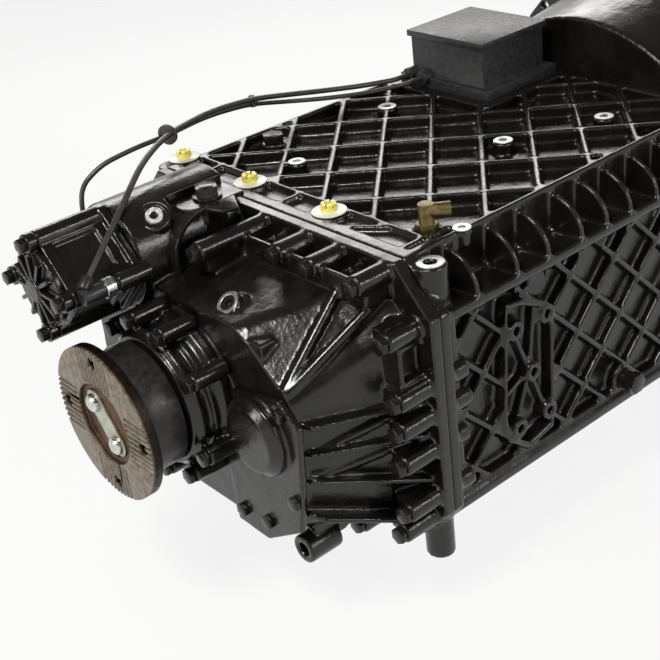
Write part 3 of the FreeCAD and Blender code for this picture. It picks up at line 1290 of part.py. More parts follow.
def pto_cover():
    """The plate with a domed centre that closes the power take-off opening."""
    y, z = -d.counter_y, d.counter_z
    corners = [(y + 58, z + 34), (y - 38, z + 56), (y - 67, z + 32), (y - 58, z - 54), (y - 47, z - 106),
               (y + 18, z - 148), (y + 72, z - 146), (y + 74, z - 60)]
    plate = padded("pto_plate", corners, d.pto_plate_x, d.rear_x - d.pto_plate_x)
    dome = turned("pto_dome", [
        (-d.pto_dome_depth, 0), (1, 0), (1, d.pto_dome_radius), (-d.pto_dome_depth + 8, d.pto_dome_radius),
        (-d.pto_dome_depth, d.pto_dome_radius - 10)], d.pto_plate_x, y, z)
    room = [rod("pto_neck_room", d.neck_radius + 0.5, 60, d.pto_plate_x - 30)]
    room += [rod("pto_lug_room_%d" % i, 12, 60, d.pto_plate_x - 30, a, b)
             for i, (a, b) in enumerate(cover_bolt_places())]
    node(cut("pto_cover", fuse("pto_solid", [plate, dome]), fuse("pto_room", room)), "pto_cover")


def pto_bolt_places():
    y, z = -d.counter_y, d.counter_z
    return [(y - 40, z + 40), (y - 46, z - 66), (y + 10, z - 118), (y + 56, z - 124)]


def bell_housing():
    """The clutch housing, open to the engine, with the engine's bolt circle round its rim."""
    start, end = d.front_x, d.bell_x
    rim, pilot = d.bell_rim / 2, d.bell_pilot / 2
    wall = d.bell_wall
    throat = d.bell_throat
    body = turned("bell_body", [
        (start, d.bell_opening), (start + d.flange_wall - 2, d.bell_opening),
        (start + d.flange_wall - 2, throat - wall), (end - 30, pilot - 14),
        (end - d.bell_pilot_depth, pilot - 14), (end - d.bell_pilot_depth, pilot), (end, pilot),
        (end, rim), (end - d.bell_rim_thick, rim),
        (end - d.bell_rim_thick, pilot - 14 + wall), (end - 32, pilot - 14 + wall), (start, throat)])
    flange = padded("bell_flange", mirrored(outline()), start, d.flange_wall)
    solid = fuse("bell_solid", [body, flange])
    opening = rod("bell_opening", d.bell_opening, 40, start - 1, 0, 0)
    holes = [rod("bell_hole_%d" % i, d.bell_hole / 2, 40, end - 30, y, z)
             for i, (y, z) in enumerate(around(12, d.bell_bolt_circle / 2, 15))]
    node(cut("bell_housing", solid, group("bell_tools", [opening] + holes)), "bell_housing")


def release_unit():
    """The annular release cylinder round the input shaft, and the release bearing that it pushes."""
    x = d.front_x
    node(turned("input_bearing_cover", [
        (x, 30), (x + 60, 30), (x + 60, 36), (x + 10, 36), (x + 10, 75), (x, 75)]), "input_bearing_cover")
    node(turned("clutch_actuator", [
        (x + 10, 36.3), (x + 40, 36.3), (x + 40, 42), (x + 16, 42), (x + 16, 66), (x + 40, 66), (x + 40, 74),
        (x + 10, 74)]), "clutch_actuator")
    node(turned("release_bearing", [
        (x + 20, 42.4), (x + 56, 42.4), (x + 56, 64), (x + 44, 64), (x + 44, 65.6), (x + 20, 65.6)]),
        "release_bearing")


def shift_actuator():
    """The electro-pneumatic shift unit on top of the casing, out of the photograph's view."""
    x, y, z = d.actuator_x, d.actuator_y, d.top_z
    base = block("actuator_base", (136, 160, 14), (x, y, z))
    tower = block("actuator_tower", (116, 130, 56), (x + 8, y + 12, z + 12))
    lid = block("actuator_lid", (124, 138, 8), (x + 4, y + 8, z + 66))
    sockets = [rod("actuator_socket_%d" % i, 9, 20, x - 8, y + offset, z + 16)
               for i, offset in enumerate((138, 112))]
    node(fuse("shift_actuator", [base, tower, lid] + sockets), "shift_actuator")


# Fittings, sensors and cables

def transport_caps():
    """Plastic caps with wide washers in the threaded holes along the rear rail."""
    parts = []
    for index, y in enumerate(CAP_PLACES):
        washer = rod("cap_washer_%d" % index, d.cap_radius, 2, d.cap_x, y, d.top_z, axis="z")
        crown = rod("cap_crown_%d" % index, 9, 9, d.cap_x, y, d.top_z + 2, axis="z")
        stem = rod("cap_stem_%d" % index, d.cap_stem, 12, d.cap_x, y, d.top_z - 12, axis="z")
        parts.append(fuse("cap_%d" % index, [washer, crown, stem]))
    node(group("transport_caps", parts), "transport_caps")


def elbow_fitting():
    x, y, z = d.elbow_x, d.elbow_y, d.top_z
    parts = [hexagon("elbow_hex", 22, 8, x, y, z - 4, axis="z"),
             rod("elbow_stem", 7, 26, x, y, z - 14, axis="z"),
             rod("elbow_body", 8.5, 22, x, y, z + 4, axis="z"), rod("elbow_arm", 8, 26, x - 26, y, z + 18)]
    solid = fuse("elbow_solid", parts)
    node(cut("elbow_fitting", solid, rod("elbow_bore", 5, 24, x - 27, y, z + 18)), "elbow_fitting")


def blanking_plugs():
    """Hexagon plugs on top, below and on the right side, and the round plug in the rear housing's port."""
    top, low, side = d.top_z, d.bottom_z, -d.wall_half
    parts = [hexagon("top_plug_head", 24, 10, d.top_plug_x, d.top_plug_y, top, axis="z"),
             rod("top_plug_stem", 8, 16, d.top_plug_x, d.top_plug_y, top - 15, axis="z")]
    plugs = [fuse("top_plug", parts)]
    parts = [hexagon("drain_plug_head", 24, 8, d.bottom_plug_x, 0, low - 8, axis="z"),
             rod("drain_plug_stem", 9, 10, d.bottom_plug_x, 0, low - 1, axis="z")]
    plugs.append(fuse("drain_plug", parts))
    parts = [rod("side_plug_washer", 13.5, 3, d.side_plug_x, side - 3, d.side_plug_z, axis="y"),
             rod("side_plug_collar", 12, 8, d.side_plug_x, side - 11, d.side_plug_z, axis="y"),
             hexagon("side_plug_head", 24, 10, d.side_plug_x, side - 21, d.side_plug_z, axis="y"),
             rod("side_plug_stem", 9, 13, d.side_plug_x, side - 1, d.side_plug_z, axis="y")]
    plugs.append(fuse("side_plug", parts))
    body = rod("port_plug_body", d.port_plug, 8, *along_port(-9), axis=PORT_AXIS)
    socket = hexagon("port_plug_socket", 8, 6, *along_port(-5), axis=PORT_AXIS)
    plugs.append(cut("port_plug", body, socket))
    node(group("blanking_plugs", plugs), "blanking_plugs")


def bracket():
    """The lifting bracket on the rear housing, held by one large bolt with a washer."""
    x, y, z = d.bracket_x, d.bracket_y, d.bracket_z
    plate = block("bracket_plate", (56, 40, 6), (x - 20, y - 20, z))
    eye = rod("bracket_eye", 20, 6, x - 20, y, z, axis="z")
    solid = fuse("bracket_solid", [plate, eye])
    hole = rod("bracket_hole", 8.4, 20, x, y, z - 5, axis="z")
    node(cut("lifting_bracket", solid, hole), "lifting_bracket")
    washer = rod("bracket_washer", 17, 3, x, y, z + 6, axis="z")
    head = hexagon("bracket_head", 24, 10, x, y, z + 9, axis="z")
    shank = rod("bracket_shank", 8, 44, x, y, z - 24, axis="z")
    return fuse("bracket_bolt", [washer, head, shank])


def casing_bolts():
    bolts = []
    for i, (y, z) in enumerate(flange_bolt_places()):
        face = d.mating_x - d.flange_wall - lug_length(i)
        shank = lug_length(i) + d.flange_wall + d.joint_bolt_grip
        bolts.append(bolt_at("rear_bolt_%d" % i, face, y, z, d.bolt_flats, d.bolt_head,
                             d.joint_bolt_radius, shank))
    node(group("casing_bolts", bolts + [bracket()]), "casing_bolts")


SWITCH_PLACE = (29, 134)
SENSOR_AXIS = (0, 0.633, 0.774)
SPEED_SENSOR = (132, 165.8, 96)
SENSOR_ROUTE = [(36, 34, 150), (67, 48, 169), (120, 79, 195), (173, 120, 212), (234, 160, 217),
                (320, 190, 214), (393, 200, 206), (449, 202, 194), (510, 198, 182), (565, 187, 174),
                (606, 168, 173), (632, 168, 173)]
SPEED_ROUTE = [(132, 190, 126), (126, 196, 149), (134, 200, 178), (162, 194, 197), (204, 184, 206),
               (250, 178, 209), (320, 199, 206), (394, 209, 197), (450, 209, 183), (509, 191, 173),
               (560, 163, 171), (604, 142, 173), (632, 142, 173)]


def along_sensor(distance):
    """A point on the speed sensor's axis, measured from the rear housing's wall."""
    return [start + step * distance for start, step in zip(SPEED_SENSOR, SENSOR_AXIS)]


def arc_path(points, name):
    """Straight runs joined by arcs that are as large as the two runs allow."""
    points = [Vector(*p) for p in points]
    edges, here, radii = [], points[0], []
    for before, corner, after in zip(points, points[1:], points[2:]):
        back, ahead = (before - corner), (after - corner)
        shorter = min(back.Length, ahead.Length)
        back.normalize()
        ahead.normalize()
        turn = math.pi - back.getAngle(ahead)
        reach = 0.45 * shorter
        radius = reach / math.tan(turn / 2)
        radii.append(round(radius))
        start, end = corner + back * reach, corner + ahead * reach
        inward = (back + ahead)
        inward.normalize()
        middle = corner + inward * (radius / math.cos(turn / 2) - radius)
        edges += [Part.LineSegment(here, start).toShape(), Part.Arc(start, middle, end).toShape()]
        here = end
    edges.append(Part.LineSegment(here, points[-1]).toShape())
    print(name, "bend radii", radii)
    return Part.Wire(edges)


def cable(name, points, diameter):
    path = arc_path(points, name)
    circle = Part.Wire(Part.makeCircle(diameter.value / 2, Vector(*points[0]), Vector(*lead(points, 0)[0])))
    shape = path.makePipeShell([circle], True, False)
    expected = math.pi * diameter.value ** 2 / 4 * path.Length
    share = round(shape.Volume / expected, 4)
    print(name, "volume over section times length:", share, "length", round(path.Length))
    return made(name, shape)


def lead(route, back):
    """The direction in which a route starts, and a point that lies back from its first point."""
    start = Vector(*route[0])
    direction = Vector(*route[1]) - start
    direction.normalize()
    return tuple(direction), tuple(start - direction * back)


def sensors_and_cables():
    sensor = cable("sensor_cable", SENSOR_ROUTE, d.sensor_cable)
    speed = cable("speed_sensor_cable", SPEED_ROUTE, d.speed_cable)
    ties = []
    for index in (4, 6):
        a, b = Vector(*SENSOR_ROUTE[index]), Vector(*SPEED_ROUTE[index + 1])
        along = Vector(*SENSOR_ROUTE[index + 1]) - Vector(*SENSOR_ROUTE[index - 1])
        radius = (a - b).Length / 2 + 5
        ties.append(rod("tie_%d" % index, radius, d.tie_width, *((a + b) * 0.5), axis=tuple(along)))
    both = fuse("both_cables", [sensor, speed])
    node(cut("cable_ties", group("tie_blanks", ties), both), "cable_ties")
    node(sensor, "sensor_cable")
    node(speed, "speed_sensor_cable")
    direction, foot = lead(SENSOR_ROUTE, 14)
    y, z = SWITCH_PLACE
    switch = [rod("switch_body", 9, d.socket_rear - 22, 22, y, z),
              rod("switch_stem", 5, 16, d.socket_rear - 1, y, z),
              rod("switch_plug", 7, 14, *foot, axis=direction)]
    node(fuse("switch_solid", switch), "range_position_switch")
    direction, foot = lead(SPEED_ROUTE, 16)
    body = [rod("speed_plug", 6, 16, *foot, axis=direction),
            rod("speed_body", 9, 40, *along_sensor(-12), axis=SENSOR_AXIS),
            rod("speed_flange", 15, 5, *along_sensor(8), axis=SENSOR_AXIS)]
    node(fuse("speed_solid", body), "speed_sensor")


def export():
    for obj in doc.Objects:
        if "Invalid" in obj.State or "Error" in obj.State:
            raise RuntimeError("failed object: %s (%s) %s" % (obj.Name, obj.Label, obj.State))
    for obj in nodes:
        if obj.Shape.isNull() or not obj.Shape.isValid() or not obj.Shape.Solids:
            raise RuntimeError("bad shape: " + obj.Label)
    os.makedirs("parts", exist_ok=True)
    for obj in nodes:
        obj.Shape.exportStep("parts/%s.step" % obj.Label)
        print("%-28s %3d solids %9.1f cm3" % (obj.Label, len(obj.Shape.Solids), obj.Shape.Volume / 1000))


def build():
    rear_housing()
    main_housing()
    bell_housing()
    output_cover()
    pto_cover()
    range_cylinder()
    range_cover()
    cover_bolts()
    casing_bolts()
    oil_seals()
    output_flange()
    flange_locking()
    output_shaft()
    planet_carrier()
    planet_pins()
    for index, direction in enumerate(planet_directions()):
        planet(index, direction)
    ring_gear()
    range_shift()
    main_shaft()
    for name in MAIN_TEETH:
        main_gear(name)
    for label in SIDES:
        countershaft(label)
        reverse_idler(label)
    idler_pins()
    input_shaft()
    shaft_bearings()
    for name, station in (("low", "sleeve_low"), ("high", "sleeve_high"), ("splitter", "sleeve_split")):
        sleeve(name + "_sleeve", STATION[station])
    fork("low_fork", STATION["sleeve_low"], -d.rail_y)
    fork("high_fork", STATION["sleeve_high"], size(0))
    fork("splitter_fork", STATION["sleeve_split"], d.rail_y)
    release_unit()
    shift_actuator()
    transport_caps()
    elbow_fitting()
    blanking_plugs()
    sensors_and_cables()
    doc.recompute()
    export()


build()
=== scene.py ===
import json
import math

import bmesh
import bpy
from mathutils import Matrix, Vector

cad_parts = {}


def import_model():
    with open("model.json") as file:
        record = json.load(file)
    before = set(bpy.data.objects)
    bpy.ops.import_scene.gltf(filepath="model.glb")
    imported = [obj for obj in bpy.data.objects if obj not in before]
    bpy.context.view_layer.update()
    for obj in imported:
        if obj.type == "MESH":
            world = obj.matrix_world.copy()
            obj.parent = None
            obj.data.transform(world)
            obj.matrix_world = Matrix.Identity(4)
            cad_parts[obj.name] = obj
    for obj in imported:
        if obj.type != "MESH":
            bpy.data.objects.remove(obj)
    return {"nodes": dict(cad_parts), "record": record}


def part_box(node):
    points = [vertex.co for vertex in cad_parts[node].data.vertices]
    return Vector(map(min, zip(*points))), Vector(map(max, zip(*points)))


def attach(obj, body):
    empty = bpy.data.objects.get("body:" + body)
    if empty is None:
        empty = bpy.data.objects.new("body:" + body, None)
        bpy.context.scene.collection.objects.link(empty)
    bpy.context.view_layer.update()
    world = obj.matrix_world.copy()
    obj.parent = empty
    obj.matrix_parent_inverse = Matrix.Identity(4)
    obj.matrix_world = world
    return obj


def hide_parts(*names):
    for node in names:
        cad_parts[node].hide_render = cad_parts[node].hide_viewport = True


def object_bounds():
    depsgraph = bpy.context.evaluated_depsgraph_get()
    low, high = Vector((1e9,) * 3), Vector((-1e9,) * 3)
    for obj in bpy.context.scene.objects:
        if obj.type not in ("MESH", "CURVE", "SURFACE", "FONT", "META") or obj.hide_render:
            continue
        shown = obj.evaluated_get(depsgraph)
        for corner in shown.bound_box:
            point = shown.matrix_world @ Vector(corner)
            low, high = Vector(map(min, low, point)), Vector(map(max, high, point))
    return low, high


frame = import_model()
cad_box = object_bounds()
nodes = frame["nodes"]
body_of = {n: b for b, names in frame["record"]["behaviour"]["bodies"].items() for n in names}
slot_of = {s["node"]: s["material_slot"] for s in frame["record"]["subparts"]}
scene = bpy.context.scene


# Places and sizes in metres, where the part's source has its nodes

ELBOW_STEM = 0.014
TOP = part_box("elbow_fitting")[0][2] + ELBOW_STEM
ELBOW = (0.326, -0.177)
ELBOW_TURN = math.radians(138.6)
TIE_SHARE = 0.7

CAP_PLACES = [(0.290, 0.218), (0.290, 0.082), (0.290, -0.061)]
CAP_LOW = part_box("transport_caps")[0][2]
CAP_MERLONS = 6
CROWN_RADIUS = 0.009
CROWN_BORE = 0.0046
# radius and height over the casing's top, after the stem's foot
CAP_WASHER = [(0.006, 0.0001), (0.0185, 0.0001), (0.020, 0.0008), (0.0198, 0.0016), (0.0186, 0.0021),
              (0.0118, 0.0016), (0.0104, 0.0021)]
CAP_WASHER_TOP = TOP + 0.0023

BRACKET = (0.210, 0.053, 0.169)
STRAP_THICK = 0.006
STRAP_WIDE = 0.026
STRAP_BEND = 0.050
STRAP_STEPS = 14
BRACKET_CORNER = [(-0.022, -0.018), (-0.013, -0.044), (0.005, -0.051), (0.037, 0.006), (0.037, 0.018),
                  (0.0, 0.012)]

AIR_PORT = (0.141, 0.058, 0.176)
AIR_PORT_AXIS = (-0.3, -0.55, 0.779)
AIR_PORT_BOSS = [(0.021, -0.022), (0.020, -0.010), (0.0185, -0.002), (0.0165, 0.0), (0.0125, 0.0),
                 (0.0118, -0.0015)]
AIR_PORT_RING = [(0.0046, -0.010), (0.0046, 0.0015), (0.0056, 0.0022), (0.0092, 0.0022), (0.0102, 0.0012),
                 (0.0102, -0.010)]

# place, axis, outer radius and inner radius of each bare face
UP = (0, 0, 1)
RING_PLACES = [
    ((0.278, -0.229, 0.150), UP, 0.0150, 0.0074),
    ((0.345, -0.209, 0.157), UP, 0.0100, 0.0042),
    ((0.559, 0.133, 0.157), UP, 0.0125, 0.0050),
    ((0.552, -0.078, 0.157), UP, 0.0118, 0.0050),
    ((0.679, -0.128, 0.157), UP, 0.0118, 0.0050),
    ((0.364, 0.085, 0.157), UP, 0.0105, 0.0050),
    ((0.135, -0.070, 0.113), (-0.6, 0, 0.8), 0.0135, 0.0092),
]
RING_THICK = 0.0006
RING_EDGE = 0.0004
RING_CROWN = 0.0003

FORWARD = (1, 0, 0)
SWITCH = (0.048, 0.029, 0.134)
SWITCH_CLIP = [(0.0093, 0), (0.0093, 0.011), (0.0104, 0.0116), (0.0112, 0.011), (0.0112, 0.0005), (0.0104, 0)]
SOCKET_START = 0.064
SOCKET_RADIUS = 0.011

# the range cylinder: its axis as (y, z), its ends along X, its square's half width and its bolt bosses
RANGE = (0.103, 0.127)
RANGE_REAR = 0.018
RANGE_FRONT = 0.106
RANGE_FOOT = 0.009
RANGE_FOOT_LIP = 0.0065
RANGE_HALF = 0.044
RANGE_PANEL_HALF = 0.024
RANGE_PANEL_DEPTH = 0.0035
RANGE_PANEL_START = 0.0125
RANGE_PANEL_SLOPE = 0.002
RANGE_BOLT_RING = 0.054
RANGE_BOSS = 0.011

# voxel size, rounds of smoothing and share of faces kept
CASTINGS = {
    "rear_housing": (0.0018, 5, 0.45),
    "main_housing": (0.0024, 4, 0.42),
    "bell_housing": (0.0032, 4, 0.4),
    "output_bearing_cover": (0.0014, 7, 0.5),
    "pto_cover": (0.0014, 7, 0.5),
    "range_cylinder_cover": (0.0010, 6, 0.5),
    "lifting_bracket": (0.0010, 6, 0.5),
}
RANGE_CASTING = (0.0011, 4, 0.5)

# width of the edges' bevel
BEVELLED = {
    "output_flange": 0.0004, "dust_shield": 0.0008, "retaining_disc": 0.0004, "lock_plate": 0.0004,
    "flange_bolts": 0.0005, "casing_bolts": 0.0006, "cover_bolts": 0.0006, "blanking_plugs": 0.0006,
    "shift_actuator": 0.003, "speed_sensor": 0.001, "range_position_switch": 0.001, "clutch_actuator": 0.001,
    "release_bearing": 0.001, "input_bearing_cover": 0.001,
}
BEVEL_SEGMENTS = 2
BEVEL_ANGLE = math.radians(28)
SHARP_ANGLE = math.radians(32)
CAP_SHARP_ANGLE = math.radians(40)
FLAT_ANGLE = math.radians(1.0)
SAME_PLACE = 1e-6
CIRCLE_STEPS = 40
OUTLINE_STEPS = 192


# Materials

def feed(tree, socket, value):
    """Links an output to the socket, or sets the socket's own value."""
    if isinstance(value, bpy.types.NodeSocket):
        tree.links.new(value, socket)
    else:
        socket.default_value = value


def calc(tree, operation, *values):
    made = tree.nodes.new("ShaderNodeMath")
    made.operation = operation
    for socket, value in zip(made.inputs, values):
        feed(tree, socket, value)
    return made.outputs[0]


class Shader:
    """A small helper that builds one procedural material."""

    def __init__(self, name, metal=0.0, specular=0.5):
        self.mat = bpy.data.materials.new(name)
        self.mat.use_nodes = True
        self.tree = self.mat.node_tree
        self.sockets = self.tree.nodes["Principled BSDF"].inputs
        self.feed("Metallic", metal)
        self.feed("Specular IOR Level", specular)
        self.coords = self.tree.nodes.new("ShaderNodeTexCoord").outputs["Object"]

    def feed(self, name, value):
        feed(self.tree, self.sockets[name], value)

    def axes(self):
        """The object's own x, y and z."""
        made = self.tree.nodes.new("ShaderNodeSeparateXYZ")
        feed(self.tree, made.inputs[0], self.coords)
        return made.outputs

    def noise(self, scale, detail, roughness=0.55):
        made = self.tree.nodes.new("ShaderNodeTexNoise")
        feed(self.tree, made.inputs["Scale"], scale)
        feed(self.tree, made.inputs["Detail"], detail)
        feed(self.tree, made.inputs["Roughness"], roughness)
        feed(self.tree, made.inputs["Vector"], self.coords)
        return made.outputs["Fac"]

    def ramp(self, source, stops):
        """Blends between two stops, each a place and a colour or a grey."""
        made = self.tree.nodes.new("ShaderNodeValToRGB")
        for element, (place, value) in zip(made.color_ramp.elements, stops):
            element.position = place
            element.color = (*value, 1) if isinstance(value, tuple) else (value, value, value, 1)
        feed(self.tree, made.inputs["Fac"], source)
        return made.outputs["Color"]

    def mix_color(self, factor, a, b):
        made = self.tree.nodes.new("ShaderNodeMix")
        made.data_type = "RGBA"
        factor_socket, a_socket, b_socket = made.inputs[0], made.inputs[6], made.inputs[7]
        feed(self.tree, factor_socket, factor)
        feed(self.tree, a_socket, a)
        feed(self.tree, b_socket, b)
        return made.outputs[2]

    def bump(self, scale, detail, distance, strength):
        made = self.tree.nodes.new("ShaderNodeBump")
        feed(self.tree, made.inputs["Distance"], distance)
        feed(self.tree, made.inputs["Strength"], strength)
        feed(self.tree, made.inputs["Height"], self.noise(scale, detail))
        normal = self.sockets["Normal"]
        if normal.is_linked:
            feed(self.tree, made.inputs["Normal"], normal.links[0].from_socket)
        feed(self.tree, normal, made.outputs["Normal"])


def surface(name, tones, rough, bumps, metal=0.0, specular=0.5):
    """A material from noises: scale, detail and stops of its colour and roughness, and its bumps."""
    s = Shader(name, metal, specular)
    scale, detail, stops = tones
    s.feed("Base Color", s.ramp(s.noise(scale, detail), stops))
    if isinstance(rough, tuple):
        scale, detail, stops = rough
        s.feed("Roughness", s.ramp(s.noise(scale, detail), stops))
    else:
        s.feed("Roughness", rough)
    for bump in bumps:
        s.bump(*bump)
    return s.mat


def casting_paint():
    return surface("casting_paint", (14, 4, [(0.35, (0.004, 0.0036, 0.003)), (0.7, (0.011, 0.0095, 0.008))]),
                   (30, 4, [(0.3, 0.13), (0.75, 0.34)]), [(260, 3, 0.0005, 0.5), (46, 2, 0.0014, 0.45)])


def fastener_paint():
    return surface("fastener_paint", (40, 3, [(0.3, (0.006, 0.0055, 0.005)), (0.7, (0.015, 0.0135, 0.012))]),
                   (60, 3, [(0.3, 0.12), (0.8, 0.32)]), [(240, 2, 0.0004, 0.5)], specular=0.32)


def machined(name, dark, light, rough, metal=1.0):
    return surface(name, (120, 5, [(0.3, dark), (0.72, light)]), (240, 3, [(0.3, rough[0]), (0.7, rough[1])]),
                   [(480, 2, 0.0002, 0.4)], metal=metal)


def zinc():
    return surface("zinc_plate", (70, 5, [(0.3, (0.30, 0.33, 0.25)), (0.7, (0.56, 0.60, 0.48))]),
                   (130, 3, [(0.3, 0.28), (0.7, 0.5)]), [(300, 3, 0.0003, 0.5)], metal=0.85)


def plastic(name, dark, light, rough):
    return surface(name, (90, 3, [(0.3, dark), (0.7, light)]), rough, [(500, 2, 0.0001, 0.4)])


def flange_steel():
    """Bare steel: lighter on the teeth's lands, painted shade in the grooves, rusty towards the recess."""
    s = Shader("flange_steel", metal=0.8)
    x, y, z = s.axes()
    land = s.ramp(s.noise(120, 5, 0.7), [(0.3, (0.12, 0.098, 0.072)), (0.7, (0.34, 0.295, 0.235))])
    # painted shade: the grooves, deeper along x than the lands, get a near-black colour
    groove_painted_shade = s.ramp(s.noise(160, 5, 0.7), [(0.3, (0.006, 0.0045, 0.003)), (0.7, (0.026, 0.016, 0.009))])
    face = s.mix_color(s.ramp(x, [(0.0004, 0.0), (0.0016, 1.0)]), land, groove_painted_shade)
    squares = [calc(s.tree, "MULTIPLY", axis, axis) for axis in (y, z)]
    radius = calc(s.tree, "SQRT", calc(s.tree, "ADD", *squares))
    ragged = 0.010
    edge = calc(s.tree, "MULTIPLY_ADD", s.noise(70, 4), ragged, radius)
    rust = s.ramp(s.noise(160, 6, 0.7), [(0.3, (0.050, 0.024, 0.012)), (0.7, (0.16, 0.085, 0.045))])
    s.feed("Base Color", s.mix_color(s.ramp(edge, [(0.046, 1.0), (0.056, 0.0)]), face, rust))
    s.feed("Roughness", s.ramp(s.noise(140, 4), [(0.3, 0.32), (0.7, 0.55)]))
    s.bump(420, 3, 0.0003, 0.5)
    return s.mat


def cap_plastic():
    """Pale yellow crowns on whitish washers, told apart by their height."""
    s = Shader("cap_plastic", specular=0.4)
    s.feed("Roughness", 0.3)
    above = calc(s.tree, "GREATER_THAN", s.axes()[2], CAP_WASHER_TOP)
    crown = s.ramp(s.noise(90, 3), [(0.3, (0.74, 0.62, 0.10)), (0.7, (0.88, 0.79, 0.22))])
    washer = s.ramp(s.noise(60, 4), [(0.3, (0.62, 0.61, 0.50)), (0.7, (0.80, 0.79, 0.68))])
    s.feed("Base Color", s.mix_color(above, washer, crown))
    s.bump(500, 2, 0.0001, 0.4)
    return s.mat


MATERIALS = {
    "casing": casting_paint(),
    "painted_bolts": fastener_paint(),
    "plated_bolts": fastener_paint(),
    "shield_steel": machined("shield_steel", (0.010, 0.0095, 0.009), (0.035, 0.032, 0.03), (0.3, 0.5), 0.3),
    "flange_steel": flange_steel(),
    "zinc_plate": zinc(),
    "bright_bolts": machined("bright_bolts", (0.42, 0.42, 0.38), (0.78, 0.78, 0.74), (0.16, 0.34)),
    "bare_iron": machined("bare_iron", (0.12, 0.115, 0.11), (0.26, 0.25, 0.24), (0.4, 0.6)),
    "bare_aluminium": machined("bare_aluminium", (0.45, 0.45, 0.45), (0.68, 0.68, 0.67), (0.3, 0.5)),
    "unit_housing": machined("unit_housing", (0.015, 0.015, 0.016), (0.04, 0.04, 0.042), (0.35, 0.55), 0.2),
    "seal_rubber": plastic("seal_rubber", (0.02, 0.012, 0.009), (0.05, 0.03, 0.022), 0.5),
    "gear_steel": machined("gear_steel", (0.36, 0.36, 0.36), (0.62, 0.62, 0.61), (0.18, 0.34)),
    "fork_bronze": machined("fork_bronze", (0.30, 0.19, 0.08), (0.52, 0.36, 0.18), (0.3, 0.5)),
    "bearing_steel": machined("bearing_steel", (0.5, 0.5, 0.5), (0.74, 0.74, 0.74), (0.12, 0.26)),
    "cap_plastic": cap_plastic(),
    "brass": machined("brass", (0.10, 0.075, 0.03), (0.26, 0.20, 0.09), (0.35, 0.6)),
    "cable_rubber": plastic("cable_rubber", (0.028, 0.027, 0.025), (0.050, 0.048, 0.045), 0.36),
    "sensor_plastic": plastic("sensor_plastic", (0.010, 0.010, 0.010), (0.024, 0.024, 0.024), 0.34),
}


# Copies of the CAD nodes: castings get rounded edges and fillets, machined parts get small bevels

def add_piece(name, mesh, slot, body, node=None):
    """A piece with its material, its body and the node that it stands for."""
    made = bpy.data.objects.new(name, mesh)
    scene.collection.objects.link(made)
    mesh.materials.clear()
    mesh.materials.append(MATERIALS[slot])
    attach(made, body)
    if node:
        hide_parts(node)
    return made


def copy_of(node, ending):
    return add_piece(node + ending, nodes[node].data.copy(), slot_of[node], body_of[node], node)


def apply_modifiers(obj):
    graph = bpy.context.evaluated_depsgraph_get()
    mesh = bpy.data.meshes.new_from_object(obj.evaluated_get(graph))
    obj.modifiers.clear()
    old = obj.data
    obj.data = mesh
    bpy.data.meshes.remove(old)


def shade_smooth(obj):
    obj.data.polygons.foreach_set("use_smooth", [True] * len(obj.data.polygons))


def round_off(obj, voxel, rounds, keep):
    """Rounds every edge and corner, as sand castings have them."""
    remesh = obj.modifiers.new("remesh", "REMESH")
    remesh.mode = "VOXEL"
    remesh.voxel_size = voxel
    smooth = obj.modifiers.new("smooth", "SMOOTH")
    smooth.iterations = rounds
    decimate = obj.modifiers.new("decimate", "DECIMATE")
    decimate.ratio = keep
    apply_modifiers(obj)
    shade_smooth(obj)


def bevel_edges(obj, width):
    bevel = obj.modifiers.new("bevel", "BEVEL")
    bevel.width = width
    bevel.segments = BEVEL_SEGMENTS
    bevel.limit_method = "ANGLE"
    bevel.angle_limit = BEVEL_ANGLE
    apply_modifiers(obj)


def bevelled(node, width):
    """The node's shape with small machined edges."""
    made = copy_of(node, "_edged")
    work = bmesh.new()
    work.from_mesh(made.data)
    bmesh.ops.remove_doubles(work, verts=work.verts, dist=SAME_PLACE)
    bmesh.ops.dissolve_limit(work, angle_limit=FLAT_ANGLE, verts=work.verts, edges=work.edges)
    work.to_mesh(made.data)
    work.free()
    bevel_edges(made, width)
    shade_smooth(made)
    made.data.set_sharp_from_angle(angle=SHARP_ANGLE)
    return made


# Pieces built from their own outlines

def finish_mesh(work, name, slot, node=None, sharp=SHARP_ANGLE, bevel=0.0):
    """Turns a bmesh into a piece of the casing."""
    bmesh.ops.remove_doubles(work, verts=work.verts, dist=SAME_PLACE)
    bmesh.ops.recalc_face_normals(work, faces=work.faces)
    mesh = bpy.data.meshes.new(name)
    work.to_mesh(mesh)
    work.free()
    made = add_piece(name, mesh, slot, "casing", node)
    if bevel:
        bevel_edges(made, bevel)
    shade_smooth(made)
    made.data.set_sharp_from_angle(angle=sharp)
    return made


def skin(work, sections, closed=False):
    """Walls between outlines of equal length, with a face on each end unless they form a ring."""
    rows = [[work.verts.new(point) for point in section] for section in sections]
    count = len(rows[0])
    pairs = list(zip(rows, rows[1:]))
    if closed:
        pairs.append((rows[-1], rows[0]))
    for low, high in pairs:
        for i in range(count):
            following = (i + 1) % count
            work.faces.new((low[i], low[following], high[following], high[i]))
    if not closed:
        work.faces.new(list(reversed(rows[0])))
        work.faces.new(rows[-1])


def frame_at(place, axis):
    """A placement whose +Z runs along the axis."""
    turn = Vector(axis).to_track_quat("Z", "Y").to_matrix().to_4x4()
    return Matrix.Translation(place) @ turn


def polar(radius, angle, height):
    return Vector((radius * math.cos(angle), radius * math.sin(angle), height))


def turned(work, put, profile, closed=False):
    """A solid of revolution from radii and heights, or a ring when the profile is closed."""
    angles = [2 * math.pi * i / CIRCLE_STEPS for i in range(CIRCLE_STEPS)]
    sections = [[put @ polar(radius, angle, height) for angle in angles] for radius, height in profile]
    skin(work, sections, closed)


